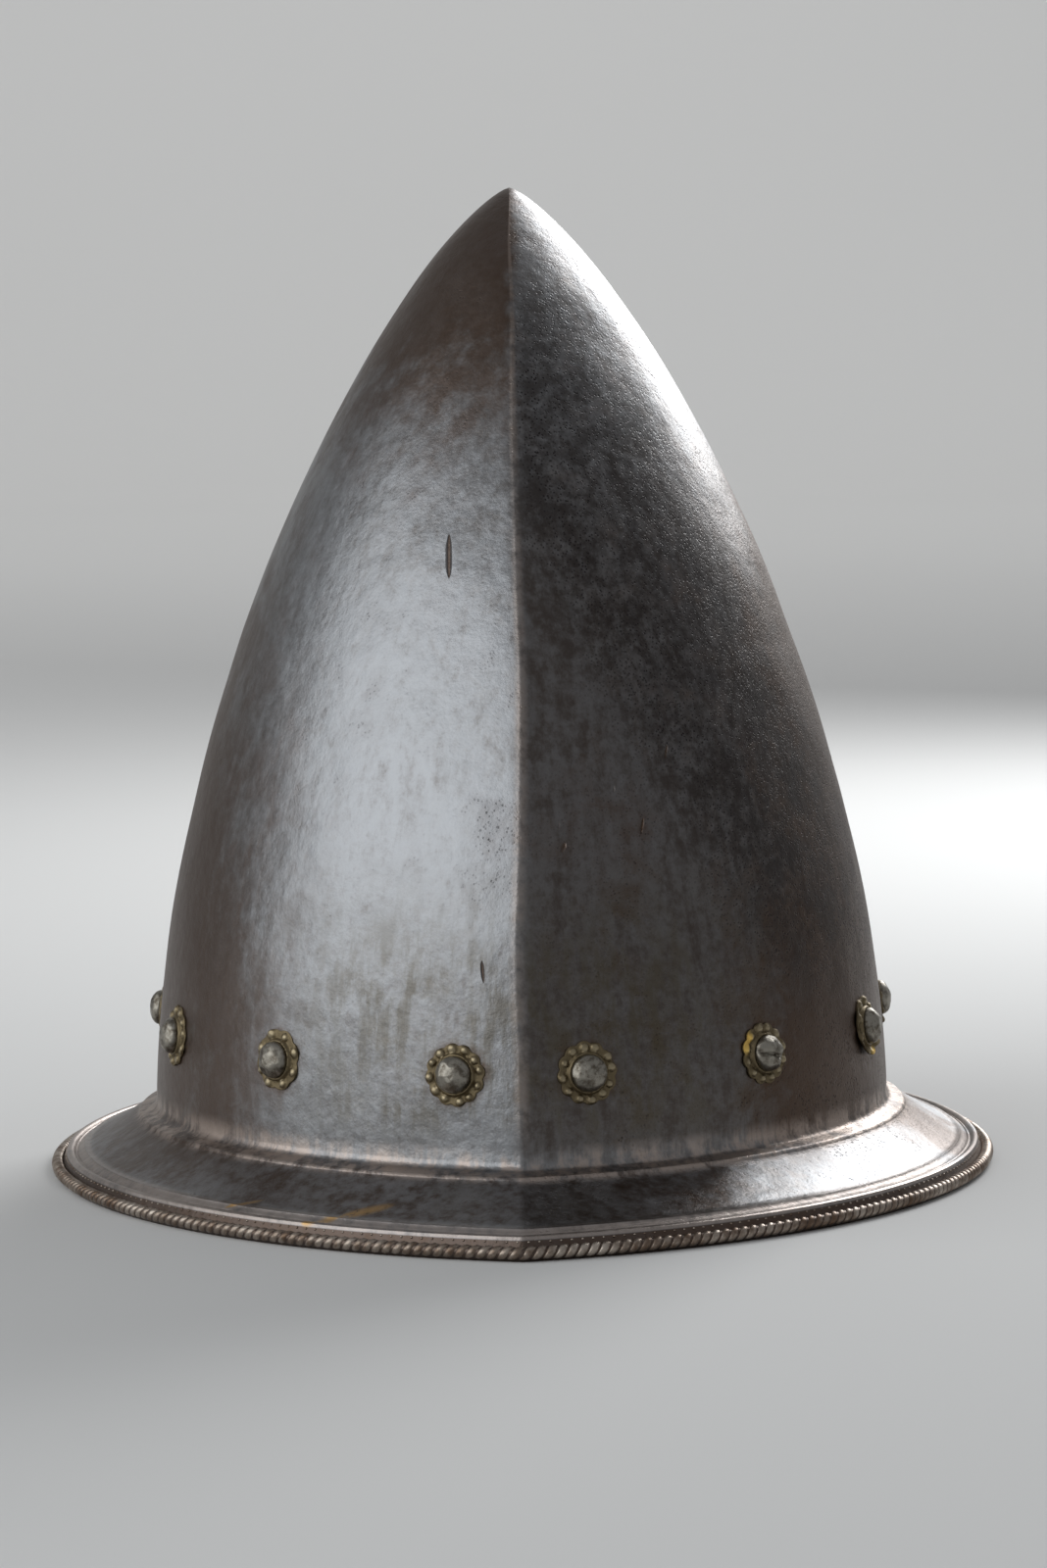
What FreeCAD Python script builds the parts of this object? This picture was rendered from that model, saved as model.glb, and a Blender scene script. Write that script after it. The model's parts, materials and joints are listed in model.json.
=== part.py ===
import FreeCAD, Part
import math
import os

# Cabasset: a one-piece steel helmet with a medial keel, a narrow sloping brim with a turned edge, and a ring
# of lining rivets on brass rosettes that hold a leather band and a quilted lining inside.
#
# Frame: X runs across the helmet, Y along its keel with the front towards -Y, and Z up. The origin lies on
# the plane that the turned edge rests on, under the middle of the skull. Sizes are in millimetres.

Vec = FreeCAD.Vector

# Skull, outside, where its flanks would meet the brim
SKULL_WIDTH = 189.0
SKULL_LENGTH = 236.0
CREASE_HEIGHT = 15.6
APEX_HEIGHT = 250.6
APEX_SETBACK = 6.0
SKULL_WALL = 1.3
CROWN_WALL = 2.6
# At a share h of the way up, the skull is (1 - h ** bulge) ** taper as wide, or as long, as at the crease.
# Its length draws in later than its width, so the keel grows sharper towards the apex.
WIDTH_BULGE = 1.71
WIDTH_TAPER = 0.757
LENGTH_BULGE = 1.9
LENGTH_TAPER = 0.70
TIP_HEIGHT = 12.0
DOME_BANDS = 6
# Inside, and under the brim, each flank is worked in flats of this number side by side
FLANK_FLATS = 32
ROOT_FILLET = 2.4

# Brim
RIM_WIDTH = 244.0
RIM_LENGTH = 308.0
BRIM_WALL = 1.3
LEDGE_WIDTH = 4.4
LEDGE_FALL = 0.5
LEDGE_DROP = 1.1
STEP_FROM_EDGE = 9.0
STEP_HEIGHT = 6.5
STEP_DROP = 0.6
BEAD_FROM_EDGE = 6.1
BEAD_HEIGHT = 5.2
BEAD_WIDTH = 2.0
BEAD_RISE = 0.5

# Turned edge: a roll with a flat under side that the helmet rests on
ROLL_RADIUS = 2.1
ROLL_FLAT = 2.6
ROLL_START = 135.0
ROLL_FACETS = 4

# Lining rivets: a pair straddles the keel at each end, and the rest are spaced between the two pairs
FRONT_RIVETS_PER_SIDE = 4
REAR_RIVETS_PER_SIDE = 3
KEEL_PAIR_ANGLE = 18.4
FRONT_RIVET_PITCH = 29.4
RIVET_RING_HEIGHT = 38.5
SHANK_DIAMETER = 3.2
SHANK_CLEARANCE = 0.2
SHANK_FACETS = 8
HEAD_DIAMETER = 9.0
HEAD_HEIGHT = 3.4
HEAD_EDGE = 0.6
HEAD_FACETS = 12
TAIL_DIAMETER = 4.8
TAIL_HEIGHT = 1.2

# Rosettes under the rivet heads
ROSETTE_LOBES = 12
ROSETTE_DIAMETER = 15.4
ROSETTE_VALLEY_DEPTH = 0.9
ROSETTE_THICKNESS = 0.6
COLLAR_DIAMETER = 10.4
COLLAR_HEIGHT = 0.7
BOSS_DIAMETER = 2.4
BOSS_HEIGHT = 0.9
BOSS_SIDES = 4

# Rove: the washer that each rivet is peened over inside
ROVE_DIAMETER = 9.0
ROVE_THICKNESS = 0.9

# Lining band of leather, held by the rivets at the middle of its height
BAND_HEIGHT = 18.0
BAND_THICKNESS = 1.6

# Quilted lining, sewn to the upper edge of the band
GORES = 8
GORE_FACETS = 4
PAD_THICKNESS = 7.0
SEAM_THICKNESS = 3.0
LINING_CROWN_HEIGHT = 166.0
LINING_SQUARENESS = 4.0
LINING_OVERLAP = 4.0
LINING_BANDS = 7

# Gap that leather and cloth leave to their neighbours
SOFT_CLEARANCE = 0.3

SKULL_HALF_WIDTH = SKULL_WIDTH / 2
SKULL_HALF_LENGTH = SKULL_LENGTH / 2
RIM_HALF_WIDTH = RIM_WIDTH / 2
RIM_HALF_LENGTH = RIM_LENGTH / 2
HOLE_DIAMETER = SHANK_DIAMETER + 2 * SHANK_CLEARANCE
BAND_BOTTOM = RIVET_RING_HEIGHT - BAND_HEIGHT / 2
BAND_TOP = RIVET_RING_HEIGHT + BAND_HEIGHT / 2
LINING_BOTTOM = BAND_TOP - LINING_OVERLAP
LINING_INSET = SKULL_WALL + BAND_THICKNESS + 2 * SOFT_CLEARANCE

# Where things lie along a rivet's axis, measured outwards from the outside of the skull
COLLAR_TOP = ROSETTE_THICKNESS + COLLAR_HEIGHT
BAND_INNER = -SKULL_WALL - SOFT_CLEARANCE - BAND_THICKNESS
ROVE_OUTER = BAND_INNER - SOFT_CLEARANCE
ROVE_INNER = ROVE_OUTER - ROVE_THICKNESS


def spread(first, last, count):
    """Evenly spaced values from first to last, both included."""
    return [first + (last - first) * i / (count - 1) for i in range(count)]


def blend(start, end, share):
    return start + (end - start) * share


class Section:
    """Level section of the helmet: two arcs that meet in a keel at the front and at the back."""

    def __init__(self, half_width, half_length, height, centre=0.0):
        self.height = height
        self.centre = centre
        self.radius = (half_width**2 + half_length**2) / (2 * half_width)
        self.inward = half_width - self.radius
        self.half_angle = 2 * math.atan2(half_width, half_length)

    def point(self, angle):
        """Point of the +X arc. The angle is -90 at the front keel, 0 at the side and 90 at the back keel."""
        turn = self.half_angle * angle / 90.0
        x = self.inward + self.radius * math.cos(turn)
        y = self.centre + self.radius * math.sin(turn)
        return Vec(max(x, 0.0), y, self.height)

    def arc(self):
        """The +X side, from the front keel to the back keel."""
        return Part.Arc(self.point(-90.0), self.point(0.0), self.point(90.0)).toShape()

    def flank(self):
        """Corners of the +X side worked in flats, from the front keel to the back keel."""
        return [self.point(angle) for angle in spread(-90.0, 90.0, FLANK_FLATS + 1)]


def rise_share(height):
    """How far up the skull a height lies, from 0 at the crease to 1 at the apex."""
    return (height - CREASE_HEIGHT) / (APEX_HEIGHT - CREASE_HEIGHT)


def skull_centre(height):
    return APEX_SETBACK * rise_share(height) ** 2


def skull_section(height, inset=0.0, draw=1.0):
    """Section of the outside of the skull, moved in by an inset and then drawn in to a share of itself."""
    rise = rise_share(height)
    half_width = SKULL_HALF_WIDTH * (1 - rise**WIDTH_BULGE) ** WIDTH_TAPER - inset
    half_length = SKULL_HALF_LENGTH * (1 - rise**LENGTH_BULGE) ** LENGTH_TAPER - inset
    return Section(draw * half_width, draw * half_length, height, skull_centre(height))


def wall_at(height):
    """Wall of the skull, which is left thicker towards the apex."""
    return blend(SKULL_WALL, CROWN_WALL, rise_share(height) ** 2)


def from_crease(out, height):
    """Section of the brim, a distance out from the foot of the skull."""
    return Section(SKULL_HALF_WIDTH + out, SKULL_HALF_LENGTH + out, height)


def from_edge(distance, height):
    """Section of the brim, a distance in from its outer edge."""
    return Section(RIM_HALF_WIDTH - distance, RIM_HALF_LENGTH - distance, height)


def strips(sections):
    """Curved faces from each section to the next."""
    return [Part.makeRuledSurface(low.arc(), high.arc()) for low, high in zip(sections, sections[1:])]


def tip(section, height):
    """Curved face from a section up to a point on the middle plane."""
    point = Part.Vertex(0, APEX_SETBACK, height)
    return Part.makeLoft([Part.Wire([section.arc()]), point], False, True).Faces


def plate(points):
    """Flat face with these corners."""
    return Part.Face(Part.makePolygon(points + points[:1]))


def quads(low, high):
    """Facets between two rows of corners, each of four corners split into two flat faces."""
    facets = []
    for a, b, c, d in zip(low, low[1:], high[1:], high):
        facets += [plate([a, b, c]), plate([a, c, d])]
    return facets


def fan(row, peak):
    """Facets from a row of corners up to one point."""
    return [plate([a, b, peak]) for a, b in zip(row, row[1:])]


def flats(sections):
    """Facets from each section to the next."""
    facets = []
    for low, high in zip(sections, sections[1:]):
        facets += quads(low.flank(), high.flank())
    return facets


def mirrored(faces):
    """The +X faces and their images on the -X side."""
    return faces + [face.mirror(Vec(0, 0, 0), Vec(1, 0, 0)) for face in faces]


def closed_solid(faces):
    """One solid out of faces that meet edge to edge."""
    sheets = Part.makeCompound(faces)
    sheets.sewShape()
    shell = Part.Shell(sheets.Faces)
    solid = Part.Solid(shell)
    solid.fix(0.001, 0.0001, 0.01)
    return solid


def brim_top():
    """Sections of the brim's upper face, from the foot of the skull to the roll."""
    bead_top = BEAD_HEIGHT + BEAD_RISE
    return [
        from_crease(ROOT_FILLET, CREASE_HEIGHT),
        from_crease(LEDGE_WIDTH, CREASE_HEIGHT - LEDGE_FALL),
        from_crease(LEDGE_WIDTH + LEDGE_DROP / 2, CREASE_HEIGHT - LEDGE_FALL - LEDGE_DROP),
        from_edge(STEP_FROM_EDGE, STEP_HEIGHT),
        from_edge(STEP_FROM_EDGE - STEP_DROP, STEP_HEIGHT - STEP_DROP),
        from_edge(BEAD_FROM_EDGE, BEAD_HEIGHT),
        from_edge(BEAD_FROM_EDGE - BEAD_WIDTH / 2, bead_top),
        from_edge(BEAD_FROM_EDGE - BEAD_WIDTH, BEAD_HEIGHT - BEAD_RISE),
    ]


def turned_edge():
    """Sections of the roll, from its inner top, over the outer edge, to its under side."""
    sections = []
    for angle in spread(ROLL_START, -90.0, ROLL_FACETS + 1):
        turn = math.radians(angle)
        distance = ROLL_RADIUS - ROLL_RADIUS * math.cos(turn)
        sections.append(from_edge(distance, ROLL_RADIUS + ROLL_RADIUS * math.sin(turn)))
    return sections


def brim_under():
    """Sections of the under side, from the end of the turned edge to the foot of the skull's inside."""
    flap_end = ROLL_RADIUS + ROLL_FLAT
    return [
        from_edge(flap_end, 0.0),
        from_edge(BEAD_FROM_EDGE, BEAD_HEIGHT - BRIM_WALL),
        from_edge(STEP_FROM_EDGE, STEP_HEIGHT - BRIM_WALL),
        from_crease(LEDGE_WIDTH, CREASE_HEIGHT - LEDGE_FALL - LEDGE_DROP - BRIM_WALL),
        from_crease(-SKULL_WALL / 2, CREASE_HEIGHT - BRIM_WALL),
    ]


def resting_face():
    """The flat under side of the roll, all round the helmet."""
    outer = Part.Wire(mirrored([from_edge(ROLL_RADIUS, 0.0).arc()]))
    inner = [Part.makePolygon(from_edge(ROLL_RADIUS + ROLL_FLAT, 0.0).flank())]
    return Part.Face([outer, Part.Wire(mirrored(inner))])


def dome_heights():
    """Heights at which the skull's sections are drawn. It runs straight across the lining band."""
    upper = spread(BAND_TOP, APEX_HEIGHT - TIP_HEIGHT, DOME_BANDS + 1)
    return [CREASE_HEIGHT + ROOT_FILLET, BAND_BOTTOM] + upper


def skull():
    """Bowl, brim and turned edge, all of one sheet."""
    outer = [skull_section(height) for height in dome_heights()]
    inner = [skull_section(height, wall_at(height)) for height in dome_heights()]
    hollow_peak = Vec(0, APEX_SETBACK, APEX_HEIGHT - 2 * CROWN_WALL)
    faces = strips(turned_edge()[::-1] + brim_top()[::-1] + outer) + tip(outer[-1], APEX_HEIGHT)
    faces += flats(brim_under() + inner) + fan(inner[-1].flank(), hollow_peak)
    return closed_solid(mirrored(faces) + [resting_face()])


def rivet_angles():
    """Angles of the rivets of one side, front rivets first."""
    front = [KEEL_PAIR_ANGLE / 2 + FRONT_RIVET_PITCH * i for i in range(FRONT_RIVETS_PER_SIDE)]
    rear = spread(front[-1], 180.0 - KEEL_PAIR_ANGLE / 2, REAR_RIVETS_PER_SIDE + 1)[1:]
    return [angle - 90.0 for angle in front + rear]


def rivet_seat(angle, side):
    """Placement on the outside of the skull, Z outwards, for a rivet at an angle on side 1 or -1."""
    nudge = 0.1
    low = skull_section(BAND_BOTTOM)
    high = skull_section(BAND_TOP)
    seat = (low.point(angle) + high.point(angle)) / 2
    up = high.point(angle) - low.point(angle)
    along = low.point(angle + nudge) - low.point(angle)
    outward = along.cross(up)
    seat.x *= side
    outward.x *= side
    upright = Vec(0, 0, 1)
    return FreeCAD.Placement(seat, FreeCAD.Rotation(upright.cross(outward), upright, outward, "ZXY"))


def placed(shape, placement):
    copy = shape.copy()
    copy.Placement = placement
    return copy


def corners(radii, height):
    """One corner at each of the radii, at equal turns about the rivet's axis."""
    turns = [2 * math.pi * i / len(radii) for i in range(len(radii))]
    return [Vec(r * math.cos(turn), r * math.sin(turn), height) for r, turn in zip(radii, turns)]


def forged(profile, sides):
    """Solid with flat hammered facets: a ring of sides at each (diameter, height) of the profile."""
    rings = [corners([diameter / 2] * sides, height) for diameter, height in profile]
    plates = [plate(rings[0]), plate(rings[-1])]
    for low, high in zip(rings, rings[1:]):
        for i in range(sides):
            plates.append(plate([low[i - 1], low[i], high[i], high[i - 1]]))
    return closed_solid(plates)


def rosette():
    """Scalloped washer with a boss in each lobe and a collar that the rivet head seats on."""
    lobe_tip = ROSETTE_DIAMETER / 2
    outline = corners([lobe_tip, lobe_tip - ROSETTE_VALLEY_DEPTH] * ROSETTE_LOBES, 0.0)
    washer = plate(outline).extrude(Vec(0, 0, ROSETTE_THICKNESS))
    collar = forged([(COLLAR_DIAMETER, ROSETTE_THICKNESS / 2), (HEAD_DIAMETER, COLLAR_TOP)], ROSETTE_LOBES)
    boss_foot = corners([BOSS_DIAMETER / 2] * BOSS_SIDES, ROSETTE_THICKNESS / 2)
    boss_peak = Vec(0, 0, ROSETTE_THICKNESS + BOSS_HEIGHT)
    boss = closed_solid([plate(boss_foot)] + fan(boss_foot + boss_foot[:1], boss_peak))
    boss.translate(Vec((COLLAR_DIAMETER / 2 + lobe_tip) / 2, 0, 0))
    bosses = []
    for i in range(ROSETTE_LOBES):
        bosses.append(boss.copy())
        bosses[-1].rotate(Vec(0, 0, 0), Vec(0, 0, 1), 360.0 * i / ROSETTE_LOBES)
    return washer.fuse([collar] + bosses).cut(rivet_bore())


def lining_rivet():
    """Domed head on the collar, shank through the skull and the band, and tail peened over the rove."""
    dome = [
        (HEAD_DIAMETER, COLLAR_TOP),
        (HEAD_DIAMETER, COLLAR_TOP + HEAD_EDGE),
        (HEAD_DIAMETER * 0.82, COLLAR_TOP + HEAD_HEIGHT * 0.62),
        (HEAD_DIAMETER * 0.42, COLLAR_TOP + HEAD_HEIGHT),
    ]
    tail = [(TAIL_DIAMETER * 0.6, ROVE_INNER - TAIL_HEIGHT), (TAIL_DIAMETER, ROVE_INNER)]
    shank = forged([(SHANK_DIAMETER, ROVE_INNER), (SHANK_DIAMETER, COLLAR_TOP)], SHANK_FACETS)
    return shank.fuse([forged(dome, HEAD_FACETS), forged(tail, SHANK_FACETS)])


def rivet_rove():
    """Small washer, cut by hand from sheet, that the tail is peened over."""
    disc = forged([(ROVE_DIAMETER, ROVE_INNER), (ROVE_DIAMETER, ROVE_OUTER)], SHANK_FACETS)
    return disc.cut(rivet_bore())


def rivet_bore():
    """Cutter for the hole that the shank passes through."""
    return forged([(HOLE_DIAMETER, ROVE_INNER), (HOLE_DIAMETER, COLLAR_TOP)], SHANK_FACETS)


def lining_band():
    """Strip of leather inside the foot of the skull."""
    outer = SKULL_WALL + SOFT_CLEARANCE
    inner = outer + BAND_THICKNESS
    profile = [(BAND_BOTTOM, outer), (BAND_TOP, outer), (BAND_TOP, inner), (BAND_BOTTOM, inner)]
    loop = [skull_section(height, inset) for height, inset in profile + profile[:1]]
    return closed_solid(mirrored(flats(loop)))


def lining_ring(height, crown, seam_inset, pad_inset):
    """Corners of a lining section, which follows the skull and then draws in to its own rounded crown.

    Each gore has a seam at its two ends and swells between them, from one inset to the other.
    """
    rise = (height - LINING_BOTTOM) / (crown - LINING_BOTTOM)
    draw = math.sqrt(1 - rise**LINING_SQUARENESS)
    points = []
    count = GORES * GORE_FACETS // 2
    for i, angle in enumerate(spread(-90.0, 90.0, count + 1)):
        swell = math.sin(math.pi * (i % GORE_FACETS) / GORE_FACETS)
        points.append(skull_section(height, blend(seam_inset, pad_inset, swell), draw).point(angle))
    return points


def lining_surface(crown, seam_inset, pad_inset):
    """Lower ring of corners, and the flat facets from it up to the crown."""
    peak = Vec(0, skull_centre(crown), crown)
    rings = []
    for turn in spread(0.0, 90.0, LINING_BANDS + 1)[:-1]:
        height = blend(LINING_BOTTOM, crown, math.sin(math.radians(turn)))
        rings.append(lining_ring(height, crown, seam_inset, pad_inset))
    facets = fan(rings[-1], peak)
    for low, high in zip(rings, rings[1:]):
        facets += quads(low, high)
    return rings[0], facets


def lining_cap():
    """Quilted hood of gores, thin along its seams and padded between them."""
    outer_foot, outer = lining_surface(LINING_CROWN_HEIGHT, LINING_INSET, LINING_INSET)
    inner_foot, inner = lining_surface(
        LINING_CROWN_HEIGHT - SEAM_THICKNESS,
        LINING_INSET + SEAM_THICKNESS,
        LINING_INSET + PAD_THICKNESS,
    )
    return closed_solid(mirrored(outer + inner + quads(outer_foot, inner_foot)))


def save(name, shape):
    shape.exportStep(os.path.join("parts", name + ".step"))


def main():
    os.makedirs("parts", exist_ok=True)
    seats = [rivet_seat(angle, side) for side in (1, -1) for angle in rivet_angles()]
    bores = [placed(rivet_bore(), seat) for seat in seats]
    save("skull", skull().cut(bores))
    save("lining_band", lining_band().cut(bores))
    save("lining_cap", lining_cap())
    for number, seat in enumerate(seats, 1):
        save("rosette_%02d" % number, placed(rosette(), seat))
        save("lining_rivet_%02d" % number, placed(lining_rivet(), seat))
        save("rivet_rove_%02d" % number, placed(rivet_rove(), seat))


main()
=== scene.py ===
import json
import logging
import math
from dataclasses import dataclass, field
from enum import Enum
from typing import Sequence

import bpy
import numpy as np
from mathutils import Matrix, Vector

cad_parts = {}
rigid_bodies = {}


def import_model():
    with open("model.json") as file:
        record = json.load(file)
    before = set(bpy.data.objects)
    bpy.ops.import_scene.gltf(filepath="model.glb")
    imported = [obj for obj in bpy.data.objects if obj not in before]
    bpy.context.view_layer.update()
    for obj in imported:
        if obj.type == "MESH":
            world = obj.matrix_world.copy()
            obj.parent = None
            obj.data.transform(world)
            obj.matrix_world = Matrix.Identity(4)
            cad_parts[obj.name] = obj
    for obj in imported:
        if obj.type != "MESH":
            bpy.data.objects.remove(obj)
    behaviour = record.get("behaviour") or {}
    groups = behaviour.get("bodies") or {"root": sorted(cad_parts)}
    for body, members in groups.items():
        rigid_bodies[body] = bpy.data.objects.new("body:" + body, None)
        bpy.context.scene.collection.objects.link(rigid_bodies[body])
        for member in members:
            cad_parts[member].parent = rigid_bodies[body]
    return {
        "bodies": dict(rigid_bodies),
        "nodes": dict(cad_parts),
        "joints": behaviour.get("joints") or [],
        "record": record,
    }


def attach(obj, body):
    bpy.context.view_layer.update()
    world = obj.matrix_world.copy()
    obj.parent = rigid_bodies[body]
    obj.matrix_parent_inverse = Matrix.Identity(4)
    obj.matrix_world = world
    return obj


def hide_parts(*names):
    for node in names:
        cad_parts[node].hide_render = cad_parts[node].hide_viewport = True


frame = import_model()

# Cabasset: a one-piece steel helmet with a keel, a narrow brim with a roped edge, brass rosettes under its
# lining rivets, a leather band and a quilted lining. Everything is in metres, in the frame of the CAD part:
# X across the helmet, Y from front to back, Z up, with the origin on the plane it rests on.

LOG = logging.getLogger("cabasset")
MM = 0.001
BODY = "root"


class Slot(Enum):
    """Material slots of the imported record."""

    STEEL = "forged_steel"
    BRASS = "rosette_brass"
    RIVET = "rivet_steel"
    LEATHER = "band_leather"
    LINEN = "lining_linen"


# Maths that several pieces share


def smooth(value: np.ndarray, low: float, high: float) -> np.ndarray:
    """Smooth step of values from 0 at low to 1 at high, which may be the lower number."""
    share = np.clip((np.asarray(value, float) - low) / (high - low), 0.0, 1.0)
    return share * share * (3.0 - 2.0 * share)


@dataclass(frozen=True)
class Lumps:
    """Smooth random field in space, the same at each run.

    Attributes:
        seed: which field it is.
        cells: size of the table that repeats in space.
    """

    seed: int
    cells: int = 24

    def at(self, points: np.ndarray, size: float) -> np.ndarray:
        """Values from -1 to 1 whose lumps are about a size across.

        Args:
            points: places, one row each.
            size: width of a lump in metres.

        Returns:
            One value for each point.
        """
        table = np.random.default_rng(self.seed).uniform(-1.0, 1.0, (self.cells,) * 3)
        spot = np.asarray(points, float) / size
        cell = np.floor(spot).astype(int)
        part = spot - cell
        part = part * part * (3.0 - 2.0 * part)
        total = np.zeros(len(spot))
        for corner in np.ndindex(2, 2, 2):
            weight = np.ones(len(spot))
            for axis in range(3):
                weight *= part[:, axis] if corner[axis] else 1.0 - part[:, axis]
            i, j, k = ((cell[:, axis] + corner[axis]) % self.cells for axis in range(3))
            total += weight * table[i, j, k]
        return total

    def rough(self, points: np.ndarray, size: float, octaves: int = 3) -> np.ndarray:
        """Sum of finer and finer lumps, each half as wide and half as high as the one before."""
        return sum(self.at(points, size / 2**i) / 2**i for i in range(octaves))


@dataclass(frozen=True)
class Section:
    """Level section of the helmet: two arcs that meet in a keel at the front and at the back.

    Attributes:
        half_width: from the middle plane to the side.
        half_length: from the middle to the keel.
        height: its height over the resting plane.
        centre: how far back its middle lies.
    """

    half_width: float
    half_length: float
    height: float
    centre: float = 0.0

    def points(self, turns: np.ndarray) -> np.ndarray:
        """Points all round the section.

        Args:
            turns: from -1 at the front keel over +X to 1 at the back keel, then from 1 to 3 over -X.

        Returns:
            One row of x, y, z for each turn.
        """
        turns = np.asarray(turns, float)
        radius = (self.half_width**2 + self.half_length**2) / (2 * self.half_width)
        half_angle = 2 * math.atan2(self.half_width, self.half_length)
        side = np.where(turns <= 1.0, 1.0, -1.0)
        angle = np.where(turns <= 1.0, turns, 2.0 - turns) * half_angle
        x = np.maximum(self.half_width - radius + radius * np.cos(angle), 0.0) * side
        y = self.centre + radius * np.sin(angle)
        return np.stack([x, y, np.full(len(turns), self.height)], axis=1)


@dataclass(frozen=True)
class HelmetForm:
    """Main form of the helmet, as the CAD part has it."""

    skull_width: float = 189.0 * MM
    skull_length: float = 236.0 * MM
    crease_height: float = 15.6 * MM
    apex_height: float = 250.6 * MM
    apex_setback: float = 6.0 * MM
    width_bulge: float = 1.71
    width_taper: float = 0.757
    length_bulge: float = 1.9
    length_taper: float = 0.70
    wall: float = 1.3 * MM
    crown_wall: float = 2.6 * MM
    rim_width: float = 244.0 * MM
    rim_length: float = 308.0 * MM
    roll_radius: float = 2.1 * MM
    band_bottom: float = 29.5 * MM
    band_top: float = 47.5 * MM

    def rise(self, height: float) -> float:
        """How far up the skull a height lies, from 0 at the crease to 1 at the apex."""
        return (height - self.crease_height) / (self.apex_height - self.crease_height)

    def skull(self, height: float, inset: float = 0.0, draw: float = 1.0) -> Section:
        """Section of the outside of the skull, moved in by an inset and drawn in to a share of itself.

        Args:
            height: its height over the resting plane.
            inset: how far in from the outside.
            draw: share of its size that is kept.

        Returns:
            The section.
        """
        rise = self.rise(height)
        half_width = self.skull_width / 2 * (1 - rise**self.width_bulge) ** self.width_taper - inset
        half_length = self.skull_length / 2 * (1 - rise**self.length_bulge) ** self.length_taper - inset
        centre = self.apex_setback * rise**2
        return Section(max(half_width, MM / 10) * draw, max(half_length, MM / 10) * draw, height, centre)

    def from_crease(self, out: float, height: float) -> Section:
        """Section of the brim, a distance out from the foot of the skull."""
        return Section(self.skull_width / 2 + out, self.skull_length / 2 + out, height)

    def from_edge(self, distance: float, height: float) -> Section:
        """Section of the brim, a distance in from its outer edge."""
        return Section(self.rim_width / 2 - distance, self.rim_length / 2 - distance, height)

    def wall_at(self, height: float) -> float:
        """Wall of the skull, thicker towards the apex."""
        return self.wall + (self.crown_wall - self.wall) * self.rise(height) ** 2


def between(first: Section, last: Section, share: float, lift: float = 0.0) -> Section:
    """Section part of the way from one to another, raised by a lift.

    Args:
        first: section at share 0.
        last: section at share 1.
        share: how far along.
        lift: height added to it.

    Returns:
        The section.
    """

    def mix(a: float, b: float) -> float:
        """Value at the share from a to b."""
        return a + (b - a) * share

    return Section(
        mix(first.half_width, last.half_width),
        mix(first.half_length, last.half_length),
        mix(first.height, last.height) + lift,
        mix(first.centre, last.centre),
    )


def round_turns(count: int, keel: float) -> np.ndarray:
    """Turns for the columns of a ring, with one column close to each side of each keel.

    Args:
        count: columns on each side.
        keel: turn from the keel to the column next to it.

    Returns:
        Turns from -1 to just under 3.
    """
    half = np.concatenate([[-1.0], np.linspace(-1.0 + keel, 1.0 - keel, count - 1)])
    return np.concatenate([half, half + 2.0])


# Meshes


@dataclass
class MeshSketch:
    """Vertices and faces gathered piece by piece."""

    verts: list = field(default_factory=list)
    faces: list = field(default_factory=list)

    def add(self, points: np.ndarray) -> int:
        """Adds points and returns the number of the first."""
        start = len(self.verts)
        self.verts += [tuple(map(float, p)) for p in points]
        return start

    def bridge(self, low: int, high: int, count: int, closed: bool = True) -> None:
        """Faces between two rows of the same count of points, facing right of the way from low to high."""
        for i in range(count if closed else count - 1):
            j = (i + 1) % count
            self.faces.append((low + i, low + j, high + j, high + i))

    def fan(self, row: int, count: int, peak: int, up: bool = True) -> None:
        """Triangles from a closed row to one point."""
        for i in range(count):
            j = (i + 1) % count
            self.faces.append((row + i, row + j, peak) if up else (row + j, row + i, peak))

    def rings(self, rows: Sequence[np.ndarray]) -> list[int]:
        """Adds closed rows and the faces between them, and returns where each row starts.

        Args:
            rows: closed rows of points, all of the same count.

        Returns:
            Number of each row's first point.
        """
        starts = [self.add(row) for row in rows]
        for low, high in zip(starts, starts[1:]):
            self.bridge(low, high, len(rows[0]))
        return starts

    def build(self, name: str, finish: bpy.types.Material) -> bpy.types.Object:
        """Makes the object, smooth shaded, and links it to the scene.

        Args:
            name: name of the object and its mesh.
            finish: its material.

        Returns:
            The object.
        """
        mesh = bpy.data.meshes.new(name)
        mesh.from_pydata(self.verts, [], self.faces)
        mesh.materials.append(finish)
        mesh.shade_smooth()
        mesh.validate()
        piece = bpy.data.objects.new(name, mesh)
        bpy.context.scene.collection.objects.link(piece)
        return piece


def sharpen(piece: bpy.types.Object, degrees: float) -> None:
    """Marks the edges sharp whose faces meet at more than an angle."""
    piece.data.set_sharp_from_angle(angle=math.radians(degrees))


def seat_on(piece: bpy.types.Object, slot: Slot, *nodes: str) -> bpy.types.Object:
    """Makes a finished piece ride on the helmet and stand for CAD nodes.

    Args:
        piece: the object.
        slot: not used.
        nodes: CAD nodes that it stands for.

    Returns:
        The same object.
    """
    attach(piece, BODY)
    if nodes:
        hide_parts(*nodes)
    LOG.info("made %s with %d faces", piece.name, len(piece.data.polygons))
    return piece


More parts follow.
